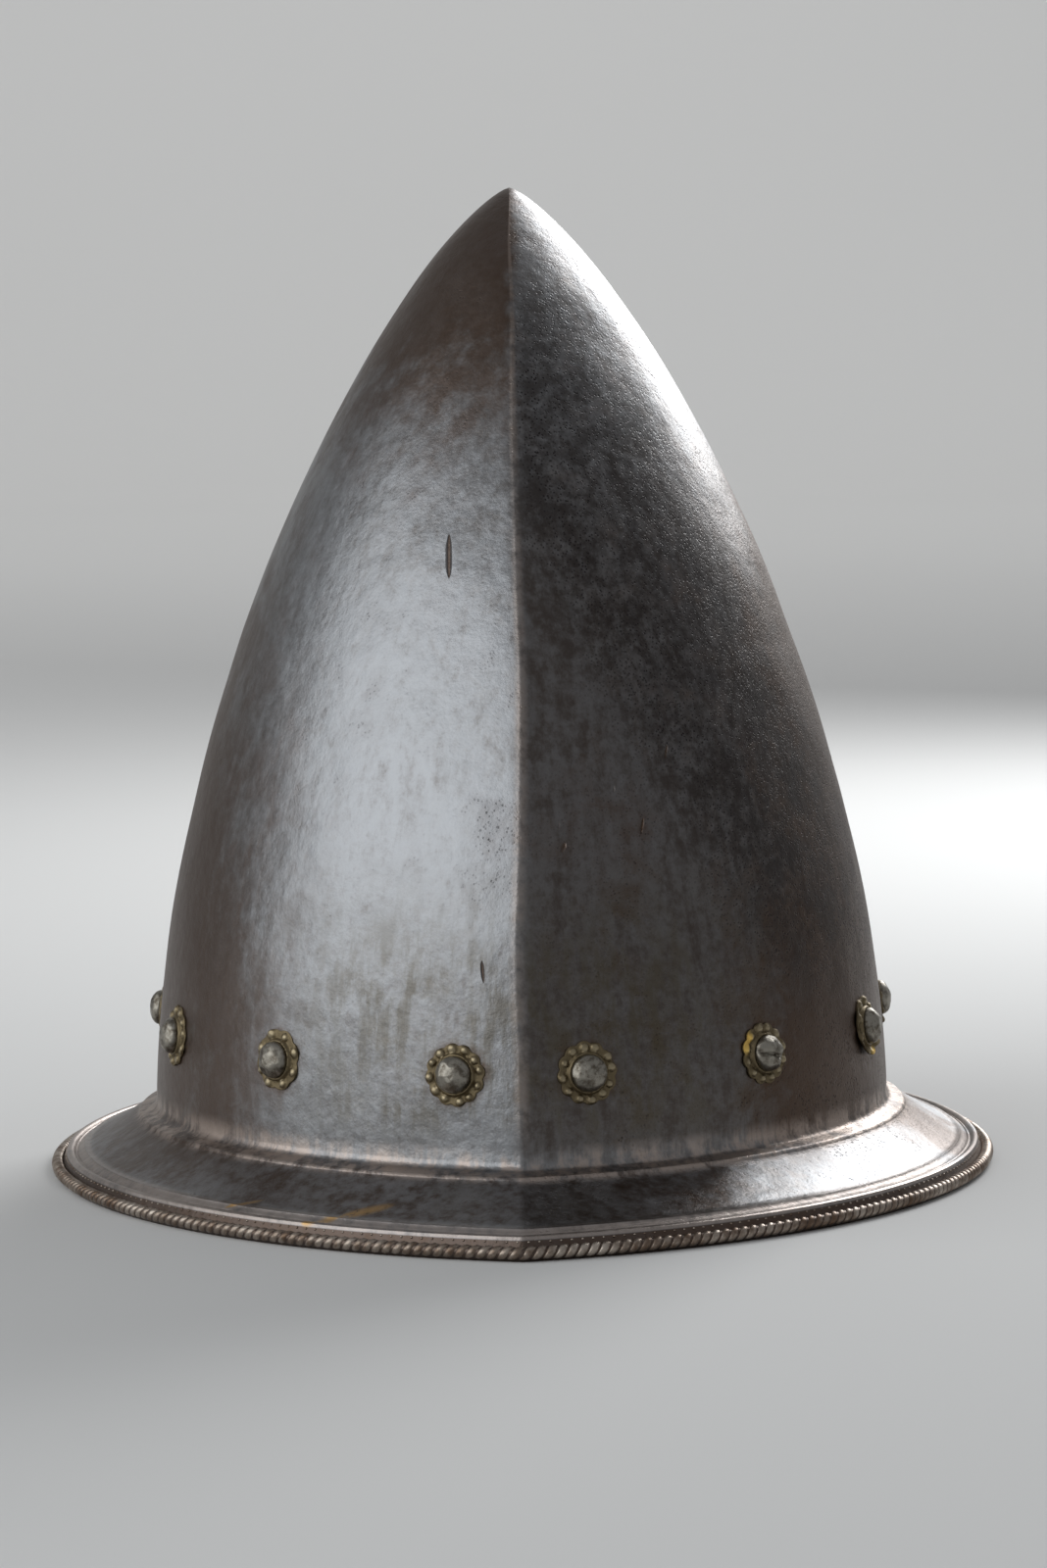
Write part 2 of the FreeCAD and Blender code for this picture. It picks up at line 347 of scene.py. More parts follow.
class Copies:
    """Geometry Nodes tree that sets one small shape on every point of a mesh.

    The points carry two vectors each: facing, which the shape's Z follows, and along, which its X follows.
    """

    INPUTS = (
        ("Shape", "NodeSocketObject"),
        ("Size", "NodeSocketFloat"),
        ("Unevenness", "NodeSocketFloat"),
        ("Seed", "NodeSocketInt"),
        ("Finish", "NodeSocketMaterial"),
    )

    def __init__(self) -> None:
        """Builds the tree once."""
        tree = bpy.data.node_groups.new("copies_on_points", "GeometryNodeTree")
        self.tree = tree
        face = tree.interface
        face.new_socket("Geometry", in_out="INPUT", socket_type="NodeSocketGeometry")
        self.sockets = {
            name: face.new_socket(name, in_out="INPUT", socket_type=kind).identifier
            for name, kind in self.INPUTS
        }
        face.new_socket("Geometry", in_out="OUTPUT", socket_type="NodeSocketGeometry")
        given = tree.nodes.new("NodeGroupInput").outputs
        facing = self.aligned("Z", "facing", None)
        along = self.aligned("X", "along", facing)
        uneven = tree.nodes.new("FunctionNodeRandomValue")
        uneven.data_type = "FLOAT"
        for socket, sign in (("Min", "SUBTRACT"), ("Max", "ADD")):
            limit = tree.nodes.new("ShaderNodeMath")
            limit.operation = sign
            limit.inputs[0].default_value = 1.0
            tree.links.new(given["Unevenness"], limit.inputs[1])
            index = {"Min": 2, "Max": 3}[socket]
            tree.links.new(limit.outputs[0], uneven.inputs[index])
        tree.links.new(given["Seed"], uneven.inputs["Seed"])
        size = tree.nodes.new("ShaderNodeMath")
        size.operation = "MULTIPLY"
        tree.links.new(given["Size"], size.inputs[0])
        tree.links.new(uneven.outputs[1], size.inputs[1])
        shape = tree.nodes.new("GeometryNodeObjectInfo")
        tree.links.new(given["Shape"], shape.inputs["Object"])
        spread = tree.nodes.new("GeometryNodeInstanceOnPoints")
        tree.links.new(given["Geometry"], spread.inputs["Points"])
        tree.links.new(shape.outputs["Geometry"], spread.inputs["Instance"])
        tree.links.new(along, spread.inputs["Rotation"])
        tree.links.new(size.outputs[0], spread.inputs["Scale"])
        real = tree.nodes.new("GeometryNodeRealizeInstances")
        tree.links.new(spread.outputs[0], real.inputs[0])
        finish = tree.nodes.new("GeometryNodeSetMaterial")
        tree.links.new(real.outputs[0], finish.inputs["Geometry"])
        tree.links.new(given["Finish"], finish.inputs["Material"])
        tree.links.new(finish.outputs[0], tree.nodes.new("NodeGroupOutput").inputs[0])

    def aligned(self, axis: str, attribute: str, rotation: object) -> bpy.types.NodeSocket:
        """Rotation that turns an axis of the shape to a vector carried by the points.

        Args:
            axis: axis of the shape.
            attribute: name of the points' vector.
            rotation: rotation to start from, or None.

        Returns:
            Socket of the rotation.
        """
        named = self.tree.nodes.new("GeometryNodeInputNamedAttribute")
        named.data_type = "FLOAT_VECTOR"
        named.inputs["Name"].default_value = attribute
        turn = self.tree.nodes.new("FunctionNodeAlignRotationToVector")
        turn.axis = axis
        if rotation is not None:
            turn.pivot_axis = "Z"
            self.tree.links.new(rotation, turn.inputs["Rotation"])
        self.tree.links.new(named.outputs["Attribute"], turn.inputs["Vector"])
        return turn.outputs[0]

    def spread(
        self,
        name: str,
        points: np.ndarray,
        facing: np.ndarray,
        along: np.ndarray,
        shape: MeshSketch,
        finish: bpy.types.Material,
        unevenness: float = 0.05,
        seed: int = 1,
    ) -> bpy.types.Object:
        """Sets the shape on the points and returns the plain mesh object.

        Args:
            name: name of the finished piece.
            points: where each copy goes.
            facing: the way each copy's Z points.
            along: the way each copy's X points.
            shape: the shape, in metres about its own origin.
            finish: its material.
            unevenness: how much the copies differ in size, as a share.
            seed: which random draw.

        Returns:
            The object with its mesh in place and no modifier.
        """
        pattern = shape.build(name + ".shape", finish)
        carrier_mesh = bpy.data.meshes.new(name + ".points")
        carrier_mesh.from_pydata([tuple(map(float, p)) for p in points], [], [])
        for label, rows in (("facing", facing), ("along", along)):
            layer = carrier_mesh.attributes.new(label, "FLOAT_VECTOR", "POINT")
            layer.data.foreach_set("vector", np.asarray(rows, np.float32).ravel())
        carrier = bpy.data.objects.new(name + ".carrier", carrier_mesh)
        bpy.context.scene.collection.objects.link(carrier)
        nodes = carrier.modifiers.new("copies", "NODES")
        nodes.node_group = self.tree
        values = {"Shape": pattern, "Size": 1.0, "Unevenness": unevenness, "Seed": seed, "Finish": finish}
        for label, value in values.items():
            nodes[self.sockets[label]] = value
        graph = bpy.context.evaluated_depsgraph_get()
        mesh = bpy.data.meshes.new_from_object(carrier.evaluated_get(graph), depsgraph=graph)
        mesh.name = name
        for used in (carrier, pattern):
            bpy.data.objects.remove(used)
        mesh.shade_smooth()
        piece = bpy.data.objects.new(name, mesh)
        bpy.context.scene.collection.objects.link(piece)
        return piece


# Shader maths


class Value:
    """A number that varies over the surface. The operators add Math nodes."""

    def __init__(self, shop: "Shop", socket: bpy.types.NodeSocket) -> None:
        """Keeps the tree that the socket belongs to."""
        self.shop = shop
        self.socket = socket

    def _do(self, operation: str, a: object, b: object) -> "Value":
        """Adds one Math node."""
        node = self.shop.node("ShaderNodeMath", {"operation": operation}, {0: a, 1: b})
        return Value(self.shop, node.outputs[0])

    def __add__(self, other: object) -> "Value":
        """Sum."""
        return self._do("ADD", self, other)

    __radd__ = __add__

    def __mul__(self, other: object) -> "Value":
        """Product."""
        return self._do("MULTIPLY", self, other)

    __rmul__ = __mul__

    def __sub__(self, other: object) -> "Value":
        """Difference."""
        return self._do("SUBTRACT", self, other)

    def __rsub__(self, other: object) -> "Value":
        """Difference with the number first."""
        return self._do("SUBTRACT", other, self)

    def __truediv__(self, other: object) -> "Value":
        """Quotient."""
        return self._do("DIVIDE", self, other)

    def __pow__(self, other: object) -> "Value":
        """Power."""
        return self._do("POWER", self, other)

    def larger(self, other: object) -> "Value":
        """The larger of the two."""
        return self._do("MAXIMUM", self, other)

    def smaller(self, other: object) -> "Value":
        """The smaller of the two."""
        return self._do("MINIMUM", self, other)

    def absolute(self) -> "Value":
        """Its size without sign."""
        return self._do("ABSOLUTE", self, 0.0)

    def ramp(self, low: float, high: float) -> "Value":
        """Smooth step from 0 at low to 1 at high. Low may be the larger number.

        Args:
            low: where it is 0.
            high: where it is 1.

        Returns:
            The step.
        """
        flip = low > high
        if flip:
            low, high = high, low
        settings = {"interpolation_type": "SMOOTHSTEP"}
        node = self.shop.node("ShaderNodeMapRange", settings, {0: self, 1: low, 2: high, 3: 0.0, 4: 1.0})
        step = Value(self.shop, node.outputs[0])
        return 1.0 - step if flip else step


class Shop:
    """One material's node tree."""

    def __init__(self, name: str) -> None:
        """Starts an empty material that reads Object coordinates.

        Args:
            name: name of the material.
        """
        self.material = bpy.data.materials.new(name)
        self.material.use_nodes = True
        self.tree = self.material.node_tree
        self.tree.nodes.clear()
        place = self.node("ShaderNodeTexCoord").outputs["Object"]
        self.place = place
        parts = self.node("ShaderNodeSeparateXYZ", {}, {0: place}).outputs
        self.x, self.y, self.z = (Value(self, part) for part in parts)

    def node(self, kind: str, settings: dict | None = None, inputs: dict | None = None) -> bpy.types.Node:
        """Adds any node.

        Args:
            kind: its type.
            settings: its own settings, set before its sockets.
            inputs: value, Value or socket for each input, by name or number.

        Returns:
            The node.
        """
        node = self.tree.nodes.new(kind)
        for label, setting in (settings or {}).items():
            setattr(node, label, setting)
        for label, given in (inputs or {}).items():
            socket = node.inputs[label]
            if isinstance(given, Value):
                self.tree.links.new(given.socket, socket)
            elif isinstance(given, bpy.types.NodeSocket):
                self.tree.links.new(given, socket)
            else:
                socket.default_value = given
        return node

    def stretched(self, scale: tuple[float, float, float]) -> bpy.types.NodeSocket:
        """Object coordinates times a scale on each axis."""
        inputs = {"Vector": self.place, "Scale": scale}
        return self.node("ShaderNodeMapping", {"vector_type": "POINT"}, inputs).outputs[0]

    def noise(
        self,
        size: float,
        detail: float = 3.0,
        roughness: float = 0.55,
        warp: float = 0.0,
        scale: tuple[float, float, float] | None = None,
    ) -> Value:
        """Noise from 0 to 1 whose lumps are about a size across, in metres.

        Args:
            size: width of a lump in metres.
            detail: how many finer octaves it has.
            roughness: how strong these are.
            warp: how far it is bent out of shape.
            scale: stretch on each axis, or None.

        Returns:
            The noise.
        """
        vector = self.place if scale is None else self.stretched(scale)
        inputs = {
            "Vector": vector,
            "Scale": 1.0 / size,
            "Detail": detail,
            "Roughness": roughness,
            "Distortion": warp,
        }
        return Value(self, self.node("ShaderNodeTexNoise", {}, inputs).outputs[0])

    def cells(self, size: float, uneven: float = 1.0, smoothness: float = 0.0) -> Value:
        """Distance to the nearest of scattered points a size apart, as a share of that size.

        Args:
            size: distance between the points in metres.
            uneven: how scattered they are.
            smoothness: how far the cells run into one another.

        Returns:
            The distance.
        """
        settings = {"feature": "SMOOTH_F1" if smoothness else "F1"}
        inputs = {"Vector": self.place, "Scale": 1.0 / size, "Randomness": uneven}
        if smoothness:
            inputs["Smoothness"] = smoothness
        return Value(self, self.node("ShaderNodeTexVoronoi", settings, inputs).outputs["Distance"])

    def blend(self, mask: object, first: object, second: object) -> bpy.types.NodeSocket:
        """Colour that goes from the first to the second with the mask.

        Args:
            mask: value or number from 0 to 1.
            first: colour where it is 0.
            second: colour where it is 1.

        Returns:
            Socket of the colour.
        """
        node = self.node("ShaderNodeMix", {"data_type": "RGBA"})
        for index, given in ((0, mask), (6, first), (7, second)):
            socket = node.inputs[index]
            if isinstance(given, Value):
                self.tree.links.new(given.socket, socket)
            elif isinstance(given, bpy.types.NodeSocket):
                self.tree.links.new(given, socket)
            elif index == 0:
                socket.default_value = given
            else:
                socket.default_value = (*given, 1.0)
        return node.outputs[2]

    def near(self, x: float, y: float, z: float, reach: float) -> Value:
        """1 at a place and 0 beyond a reach from it."""
        node = self.node("ShaderNodeVectorMath", {"operation": "DISTANCE"}, {0: self.place, 1: (x, y, z)})
        return Value(self, node.outputs["Value"]).ramp(reach, 0.0)

    def stroke(self, start: Sequence[float], end: Sequence[float], width: float) -> Value:
        """1 on a straight scratch between two places and 0 beyond its width.

        Args:
            start: one end.
            end: the other end.
            width: half width in its middle, in metres.

        Returns:
            The mask.
        """
        a, b = Vector(start), Vector(end)
        way = b - a
        shift = self.node("ShaderNodeVectorMath", {"operation": "SUBTRACT"}, {0: self.place, 1: tuple(a)})
        offset = shift.outputs[0]
        scaled = tuple(way / way.length_squared)
        dot = self.node("ShaderNodeVectorMath", {"operation": "DOT_PRODUCT"}, {0: offset, 1: scaled})
        share = Value(self, dot.outputs["Value"]).larger(0.0).smaller(1.0)
        point = self.node("ShaderNodeVectorMath", {"operation": "SCALE"}, {0: tuple(way)})
        self.tree.links.new(share.socket, point.inputs["Scale"])
        gap = self.node("ShaderNodeVectorMath", {"operation": "DISTANCE"}, {0: offset, 1: point.outputs[0]})
        slim = 1.0 - (share * 2.0 - 1.0).absolute() ** 3.0
        return (Value(self, gap.outputs["Value"]) / (slim * width + width * 0.15)).ramp(1.0, 0.2)

    def finish(
        self,
        colour: object,
        roughness: object,
        metallic: object = 0.0,
        relief: Sequence[tuple[Value, float]] = (),
        constants: dict | None = None,
    ) -> bpy.types.Material:
        """Closes the material with a Principled shader.

        Args:
            colour: base colour, or a colour socket.
            roughness: value or number.
            metallic: value or number.
            relief: height fields from 0 to 1, each with its height in metres.
            constants: numbers for the shader's other sockets.

        Returns:
            The material.
        """
        shader = self.node("ShaderNodeBsdfPrincipled", {}, {"Roughness": roughness, "Metallic": metallic})
        if isinstance(colour, bpy.types.NodeSocket):
            self.tree.links.new(colour, shader.inputs["Base Color"])
        else:
            shader.inputs["Base Color"].default_value = (*colour, 1.0)
        for label, number in (constants or {}).items():
            shader.inputs[label].default_value = number
        normal = None
        for height, distance in relief:
            bump = self.node("ShaderNodeBump", {}, {"Height": height, "Distance": distance, "Strength": 1.0})
            if normal is not None:
                self.tree.links.new(normal, bump.inputs["Normal"])
            normal = bump.outputs[0]
        if normal is not None:
            self.tree.links.new(normal, shader.inputs["Normal"])
        out = self.node("ShaderNodeOutputMaterial")
        self.tree.links.new(shader.outputs[0], out.inputs["Surface"])
        return self.material


# Finishes


@dataclass(frozen=True)
class Scratch:
    """Straight scratch or nick from one place to another, in millimetres."""

    start: tuple[float, float, float]
    end: tuple[float, float, float]
    width: float

    def mask(self, shop: Shop) -> Value:
        """1 on the scratch and 0 beside it."""
        return shop.stroke([c * MM for c in self.start], [c * MM for c in self.end], self.width * MM)


SCRATCHES = (
    Scratch((-15.8, -70.4, 166.0), (-15.9, -76.3, 155.6), 0.9),
    Scratch((11.4, -103.6, 93.5), (10.0, -104.6, 90.2), 0.8),
    Scratch((9.9, -102.6, 98.5), (9.6, -103.4, 95.5), 0.5),
    Scratch((25.2, -75.0, 147.7), (24.6, -78.0, 141.5), 0.5),
    Scratch((15.2, -89.0, 129.8), (14.8, -91.0, 124.5), 0.5),
    Scratch((36.6, -82.3, 114.6), (35.6, -84.2, 110.5), 0.6),
    Scratch((30.5, -93.0, 98.0), (29.5, -94.6, 93.5), 0.5),
    Scratch((23.5, -94.2, 106.0), (22.6, -95.4, 101.5), 0.4),
    Scratch((-22.0, -97.0, 92.0), (-22.6, -99.0, 86.0), 0.4),
    Scratch((-9.0, -111.0, 66.0), (-8.6, -112.0, 60.5), 0.5),
    Scratch((-36.0, -94.0, 74.0), (-30.5, -98.0, 69.5), 0.4),
)
SMEARS = (
    Scratch((-29.0, -124.6, 11.2), (-45.0, -125.4, 6.8), 2.6),
    Scratch((-43.0, -125.3, 7.3), (-54.0, -126.6, 5.6), 2.0),
    Scratch((-72.5, -104.6, 5.8), (-60.5, -107.4, 9.2), 1.1),
)


@dataclass(frozen=True)
class PatinatedSteel:
    """Old forged steel: grey where it is rubbed, brown and black where it is pitted, with a painted
    reflection on the left flank and painted shade on the right one.

    Attributes:
        seats: middles of the rosettes, which the steel is stained around.
    """

    seats: tuple[tuple[float, float, float], ...]
    # Rubbed grey, also used for the painted reflection on the front of the left flank
    rubbed: tuple[float, float, float] = (0.335, 0.345, 0.36)
    tarnished: tuple[float, float, float] = (0.165, 0.155, 0.150)
    # Dark tarnish, also used as painted shade on the right flank
    dull_and_shade: tuple[float, float, float] = (0.086, 0.071, 0.063)
    rusty: tuple[float, float, float] = (0.082, 0.049, 0.031)
    olive: tuple[float, float, float] = (0.085, 0.066, 0.036)
    pitted: tuple[float, float, float] = (0.026, 0.022, 0.022)
    ochre: tuple[float, float, float] = (0.52, 0.32, 0.12)
    worn_edge: tuple[float, float, float] = (0.44, 0.36, 0.31)

    def material(self) -> bpy.types.Material:
        """Builds the material.

        Returns:
            The material.
        """
        shop = Shop("patinated_steel")
        x, y, z = shop.x, shop.y, shop.z
        cloud = shop.noise(0.060, 4.0, 0.6, 0.4)
        mottle = shop.noise(0.011, 6.0, 0.68, 0.25)
        grain = shop.noise(0.0026, 5.0, 0.72)
        fine = shop.noise(0.0007, 3.0, 0.6)
        streak = shop.noise(0.0035, 5.0, 0.66, 0.0, (1.0, 1.0, 0.10))
        front = y.ramp(0.03, -0.03)
        right = x.ramp(-0.003, 0.004)
        out = x.absolute()
        texture = cloud * 0.25 + mottle * 0.30 + grain * 0.30 + streak * 0.30
        # Rubbed bright on the front of the left flank, partly a painted reflection of the key light there;
        # tarnished, pitted and darkened by painted shade on the right one
        rub_and_sheen = front * (1.0 - right) * out.ramp(0.082, 0.040) * z.ramp(0.215, 0.13)
        colour = shop.blend(texture.ramp(0.45, 0.72), self.tarnished, self.rubbed)
        colour = shop.blend(rub_and_sheen * texture.ramp(0.38, 0.62) * 0.75, colour, self.rubbed)
        # Painted shade over tarnish: the right flank above the brim is darker, less so near the point
        crown = z.ramp(0.150, 0.205)
        dull_and_shade = right * z.ramp(0.017, 0.022) * (0.62 + texture.ramp(0.62, 0.45) * 0.38) * (1.0 - crown * 0.65)
        colour = shop.blend(dull_and_shade, colour, self.dull_and_shade)
        # Brown towards the sides and the point, and olive low down beside the keel
        aside = out.ramp(0.040, 0.088).larger(z.ramp(0.165, 0.235) * (1.0 - right))
        brown = (aside * 0.75 + (mottle - 0.5) * 1.6 + (cloud - 0.5) * 1.2 + 0.12).ramp(0.10, 0.75)
        colour = shop.blend(brown * 0.86 * (1.0 - rub_and_sheen * 0.6) * z.ramp(0.008, 0.02), colour, self.rusty)
        low = z.ramp(0.095, 0.055) * z.ramp(0.016, 0.03) * out.ramp(0.075, 0.03) * front
        colour = shop.blend(low * (mottle * 0.6 + streak * 0.6).ramp(0.50, 0.72) * 0.65, colour, self.olive)
        # Black pits, thickest on the upper right flank, and painted shade in a band down that flank
        diagonal = (x - 0.118 + z * 0.56).absolute()
        flank = right * front * diagonal.ramp(0.036, 0.010) * z.ramp(0.030, 0.07) * z.ramp(0.238, 0.21)
        pits = (shop.cells(0.00095) + (1.0 - grain) * 0.6).ramp(0.70, 0.38)
        clump = mottle * 0.6 + cloud * 0.45 + flank * 0.20 + right * 0.06
        pits = pits * clump.ramp(0.54, 0.76)
        shade = flank * (mottle * 0.5 + grain * 0.5).ramp(0.68, 0.40)
        # Pits and painted shade darken the colour together
        dark = (shade * 0.62 + pits * 0.6).smaller(1.0)
        colour = shop.blend(dark, colour, self.pitted)
        # Stains round the rosettes
        halo = shop.near(*self.seats[0], 0.0125)
        for seat in self.seats[1:]:
            halo = halo.larger(shop.near(*seat, 0.0125))
        stain = (halo * 1.1 + (mottle - 0.5) * 0.9).ramp(0.15, 0.62) * halo.ramp(0.0, 0.2)
        colour = shop.blend(stain * 0.72, colour, self.rusty)
        # The brim is dark on its slope, and its outer band is rubbed
        brim = z.ramp(0.0165, 0.0145)
        slope = brim * z.ramp(0.0062, 0.0074)
        ahead = (x - 0.045).ramp(0.0, 0.012)
        tarnish = slope * (0.35 + texture.ramp(0.62, 0.42) * 0.5) * (1.0 - ahead)
        colour = shop.blend(tarnish, colour, self.rusty)
        rim_rust = shop.near(0.112, -0.022, 0.006, 0.048) * brim
        rust_spots = (rim_rust * 1.1 + (mottle - 0.5) * 2.2 + (cloud - 0.5) * 1.2).ramp(0.25, 1.0)
        colour = shop.blend(rust_spots * rim_rust.ramp(0.0, 0.5) * 0.8, colour, self.rusty)
        band = brim * z.ramp(0.0070, 0.0062) * z.ramp(0.0045, 0.0050)
        worn_band = band * texture.ramp(0.40, 0.60) * 0.6 * (1.0 - rim_rust.ramp(0.1, 0.5))
        colour = shop.blend(worn_band, colour, self.worn_edge)
        groove = brim * z.ramp(0.0049, 0.0045)
        colour = shop.blend(groove * 0.85, colour, self.rusty)
        crease = z.ramp(0.0225, 0.0170) * z.ramp(0.0130, 0.0148)
        handled = crease * (mottle * 0.5 + streak * 0.5).ramp(0.42, 0.56) * 0.8
        colour = shop.blend(handled, colour, self.worn_edge)
        keel = Value(shop, shop.node("ShaderNodeAttribute", {"attribute_name": "keel"}).outputs["Fac"])
        worn = keel * (mottle * 0.6 + grain * 0.4).ramp(0.35, 0.55) * z.ramp(0.016, 0.03)
        colour = shop.blend(worn * 0.35, colour, self.worn_edge)
        smear = SMEARS[0].mask(shop)
        for mark in SMEARS[1:]:
            smear = smear.larger(mark.mask(shop))
        colour = shop.blend(smear * grain.ramp(0.32, 0.46) * 0.9, colour, self.ochre)
        nicks = SCRATCHES[0].mask(shop)
        for mark in SCRATCHES[1:]:
            nicks = nicks.larger(mark.mask(shop))
        colour = shop.blend(nicks * 0.85, colour, self.rusty)
        roughness = 0.37 + dark * 0.20 + brown * 0.06 + (grain - 0.5) * 0.22 + (streak - 0.5) * 0.10
        relief = [
            (shop.cells(0.019, 1.0, 0.7), 0.00045),
            (shop.noise(0.006, 3.0, 0.55), 0.00028),
            (1.0 - pits, 0.00012),
            (grain * 0.6 + streak * 0.4, 0.00014),
            (fine, 0.00004),
            (1.0 - nicks, 0.0005),
        ]
        return shop.finish(colour, roughness, 1.0, relief)


@dataclass(frozen=True)
class RubbedSteel:
    """Steel of the roped edge, rubbed by handling."""

    high: tuple[float, float, float] = (0.50, 0.44, 0.38)
    low: tuple[float, float, float] = (0.15, 0.10, 0.07)

    def material(self) -> bpy.types.Material:
        """Builds the material.

        Returns:
            The material.
        """
        shop = Shop("rubbed_steel")
        spots = shop.noise(0.004, 4.0, 0.65)
        patches = shop.noise(0.03, 3.0, 0.6)
        colour = shop.blend((spots * 0.6 + patches * 0.7).ramp(0.45, 0.8), self.high, self.low)
        return shop.finish(colour, 0.34 + spots * 0.14, 1.0, [(shop.noise(0.0011, 3.0), 0.00008)])


@dataclass(frozen=True)
class RivetSteel:
    """Steel of the rivets: rubbed on top, black in the hammer marks."""

    high: tuple[float, float, float] = (0.30, 0.28, 0.24)
    low: tuple[float, float, float] = (0.115, 0.098, 0.076)

    def material(self) -> bpy.types.Material:
        """Builds the material.

        Returns:
            The material.
        """
        shop = Shop("rivet_steel")
        spots = shop.noise(0.0022, 4.0, 0.7)
        colour = shop.blend(spots.ramp(0.42, 0.66), self.high, self.low)
        return shop.finish(colour, 0.30 + spots * 0.2, 1.0, [(shop.noise(0.0009, 3.0), 0.00010)])


@dataclass(frozen=True)
class OldBrass:
    """Thin brass: olive in the hollows, rubbed on the bosses."""

    high: tuple[float, float, float] = (0.33, 0.275, 0.18)
    low: tuple[float, float, float] = (0.175, 0.138, 0.082)
    bright: tuple[float, float, float] = (0.80, 0.55, 0.16)

    def material(self) -> bpy.types.Material:
        """Builds the material.

        Returns:
            The material.
        """
        shop = Shop("old_brass")
        spots = shop.noise(0.0017, 4.0, 0.65)
        raised = Value(shop, shop.node("ShaderNodeAttribute", {"attribute_name": "raised"}).outputs["Fac"])
        colour = shop.blend((raised * 0.75 + (spots - 0.5) * 0.9).ramp(0.25, 0.75), self.low, self.high)
        shown = Value(shop, shop.node("ShaderNodeAttribute", {"attribute_name": "scraped"}).outputs["Fac"])
        colour = shop.blend(shown, colour, self.bright)
        return shop.finish(colour, 0.34 + (1.0 - raised) * 0.2, 1.0, [(shop.noise(0.0008, 3.0), 0.00008)])


@dataclass(frozen=True)
class BandLeather:
    """Vegetable-tanned leather, dark and dry."""

    light: tuple[float, float, float] = (0.24, 0.13, 0.070)
    dark: tuple[float, float, float] = (0.075, 0.038, 0.020)

    def material(self) -> bpy.types.Material:
        """Builds the material.

        Returns:
            The material.
        """
        shop = Shop("band_leather")
        patches = shop.noise(0.02, 4.0, 0.6)
        creases = shop.cells(0.0014)
        colour = shop.blend(patches.ramp(0.35, 0.7), self.light, self.dark)
        return shop.finish(colour, 0.62 + patches * 0.15, 0.0, [(creases, 0.00025), (patches, 0.0004)])


@dataclass(frozen=True)
class QuiltLinen:
    """Unbleached linen, woven, darker along the seams from dirt and painted shade."""

    light: tuple[float, float, float] = (0.62, 0.54, 0.41)
    dark: tuple[float, float, float] = (0.36, 0.28, 0.18)
    soiled_and_shaded: tuple[float, float, float] = (0.16, 0.11, 0.065)

    def material(self) -> bpy.types.Material:
        """Builds the material.

        Returns:
            The material.
        """
        shop = Shop("quilt_linen")
        uv = shop.node("ShaderNodeUVMap", {"uv_map": "weave"}).outputs[0]
        waves = []
        for direction in ("X", "Y"):
            settings = {"wave_type": "BANDS", "bands_direction": direction}
            inputs = {"Vector": uv, "Scale": 1.0, "Distortion": 0.6, "Detail": 1.0}
            waves.append(Value(shop, shop.node("ShaderNodeTexWave", settings, inputs).outputs["Fac"]))
        weave = waves[0].larger(waves[1])
        stain = shop.noise(0.035, 4.0, 0.6)
        colour = shop.blend(stain.ramp(0.35, 0.75) * 0.7, self.light, self.dark)
        colour = shop.blend((1.0 - weave) * 0.35, colour, self.dark)
        # Darker in the seam valleys: dirt and painted shade
        valley = Value(shop, shop.node("ShaderNodeAttribute", {"attribute_name": "valley"}).outputs["Fac"])
        colour = shop.blend(valley.ramp(0.45, 1.0) * 0.75, colour, self.soiled_and_shaded)
        constants = {"Sheen Weight": 0.25, "Sheen Roughness": 0.5}
        return shop.finish(colour, 0.85, 0.0, [(weave, 0.0003), (shop.noise(0.008), 0.0006)], constants)


@dataclass(frozen=True)
class WaxedThread:
    """Thread of the stitches."""

    colour: tuple[float, float, float] = (0.50, 0.41, 0.28)

    def material(self) -> bpy.types.Material:
        """Builds the material.

        Returns:
            The material.
        """
        shop = Shop("waxed_thread")
        tone = shop.noise(0.002, 2.0)
        colour = shop.blend(tone.ramp(0.3, 0.7), self.colour, tuple(c * 0.6 for c in self.colour))
        return shop.finish(colour, 0.7, 0.0, [(shop.noise(0.0005), 0.0001)])


@dataclass(frozen=True)
class Finishes:
    """All the materials of the helmet."""

    steel: bpy.types.Material
    edge: bpy.types.Material
    rivet: bpy.types.Material
    brass: bpy.types.Material
    leather: bpy.types.Material
    linen: bpy.types.Material
    thread: bpy.types.Material


# The steel bowl


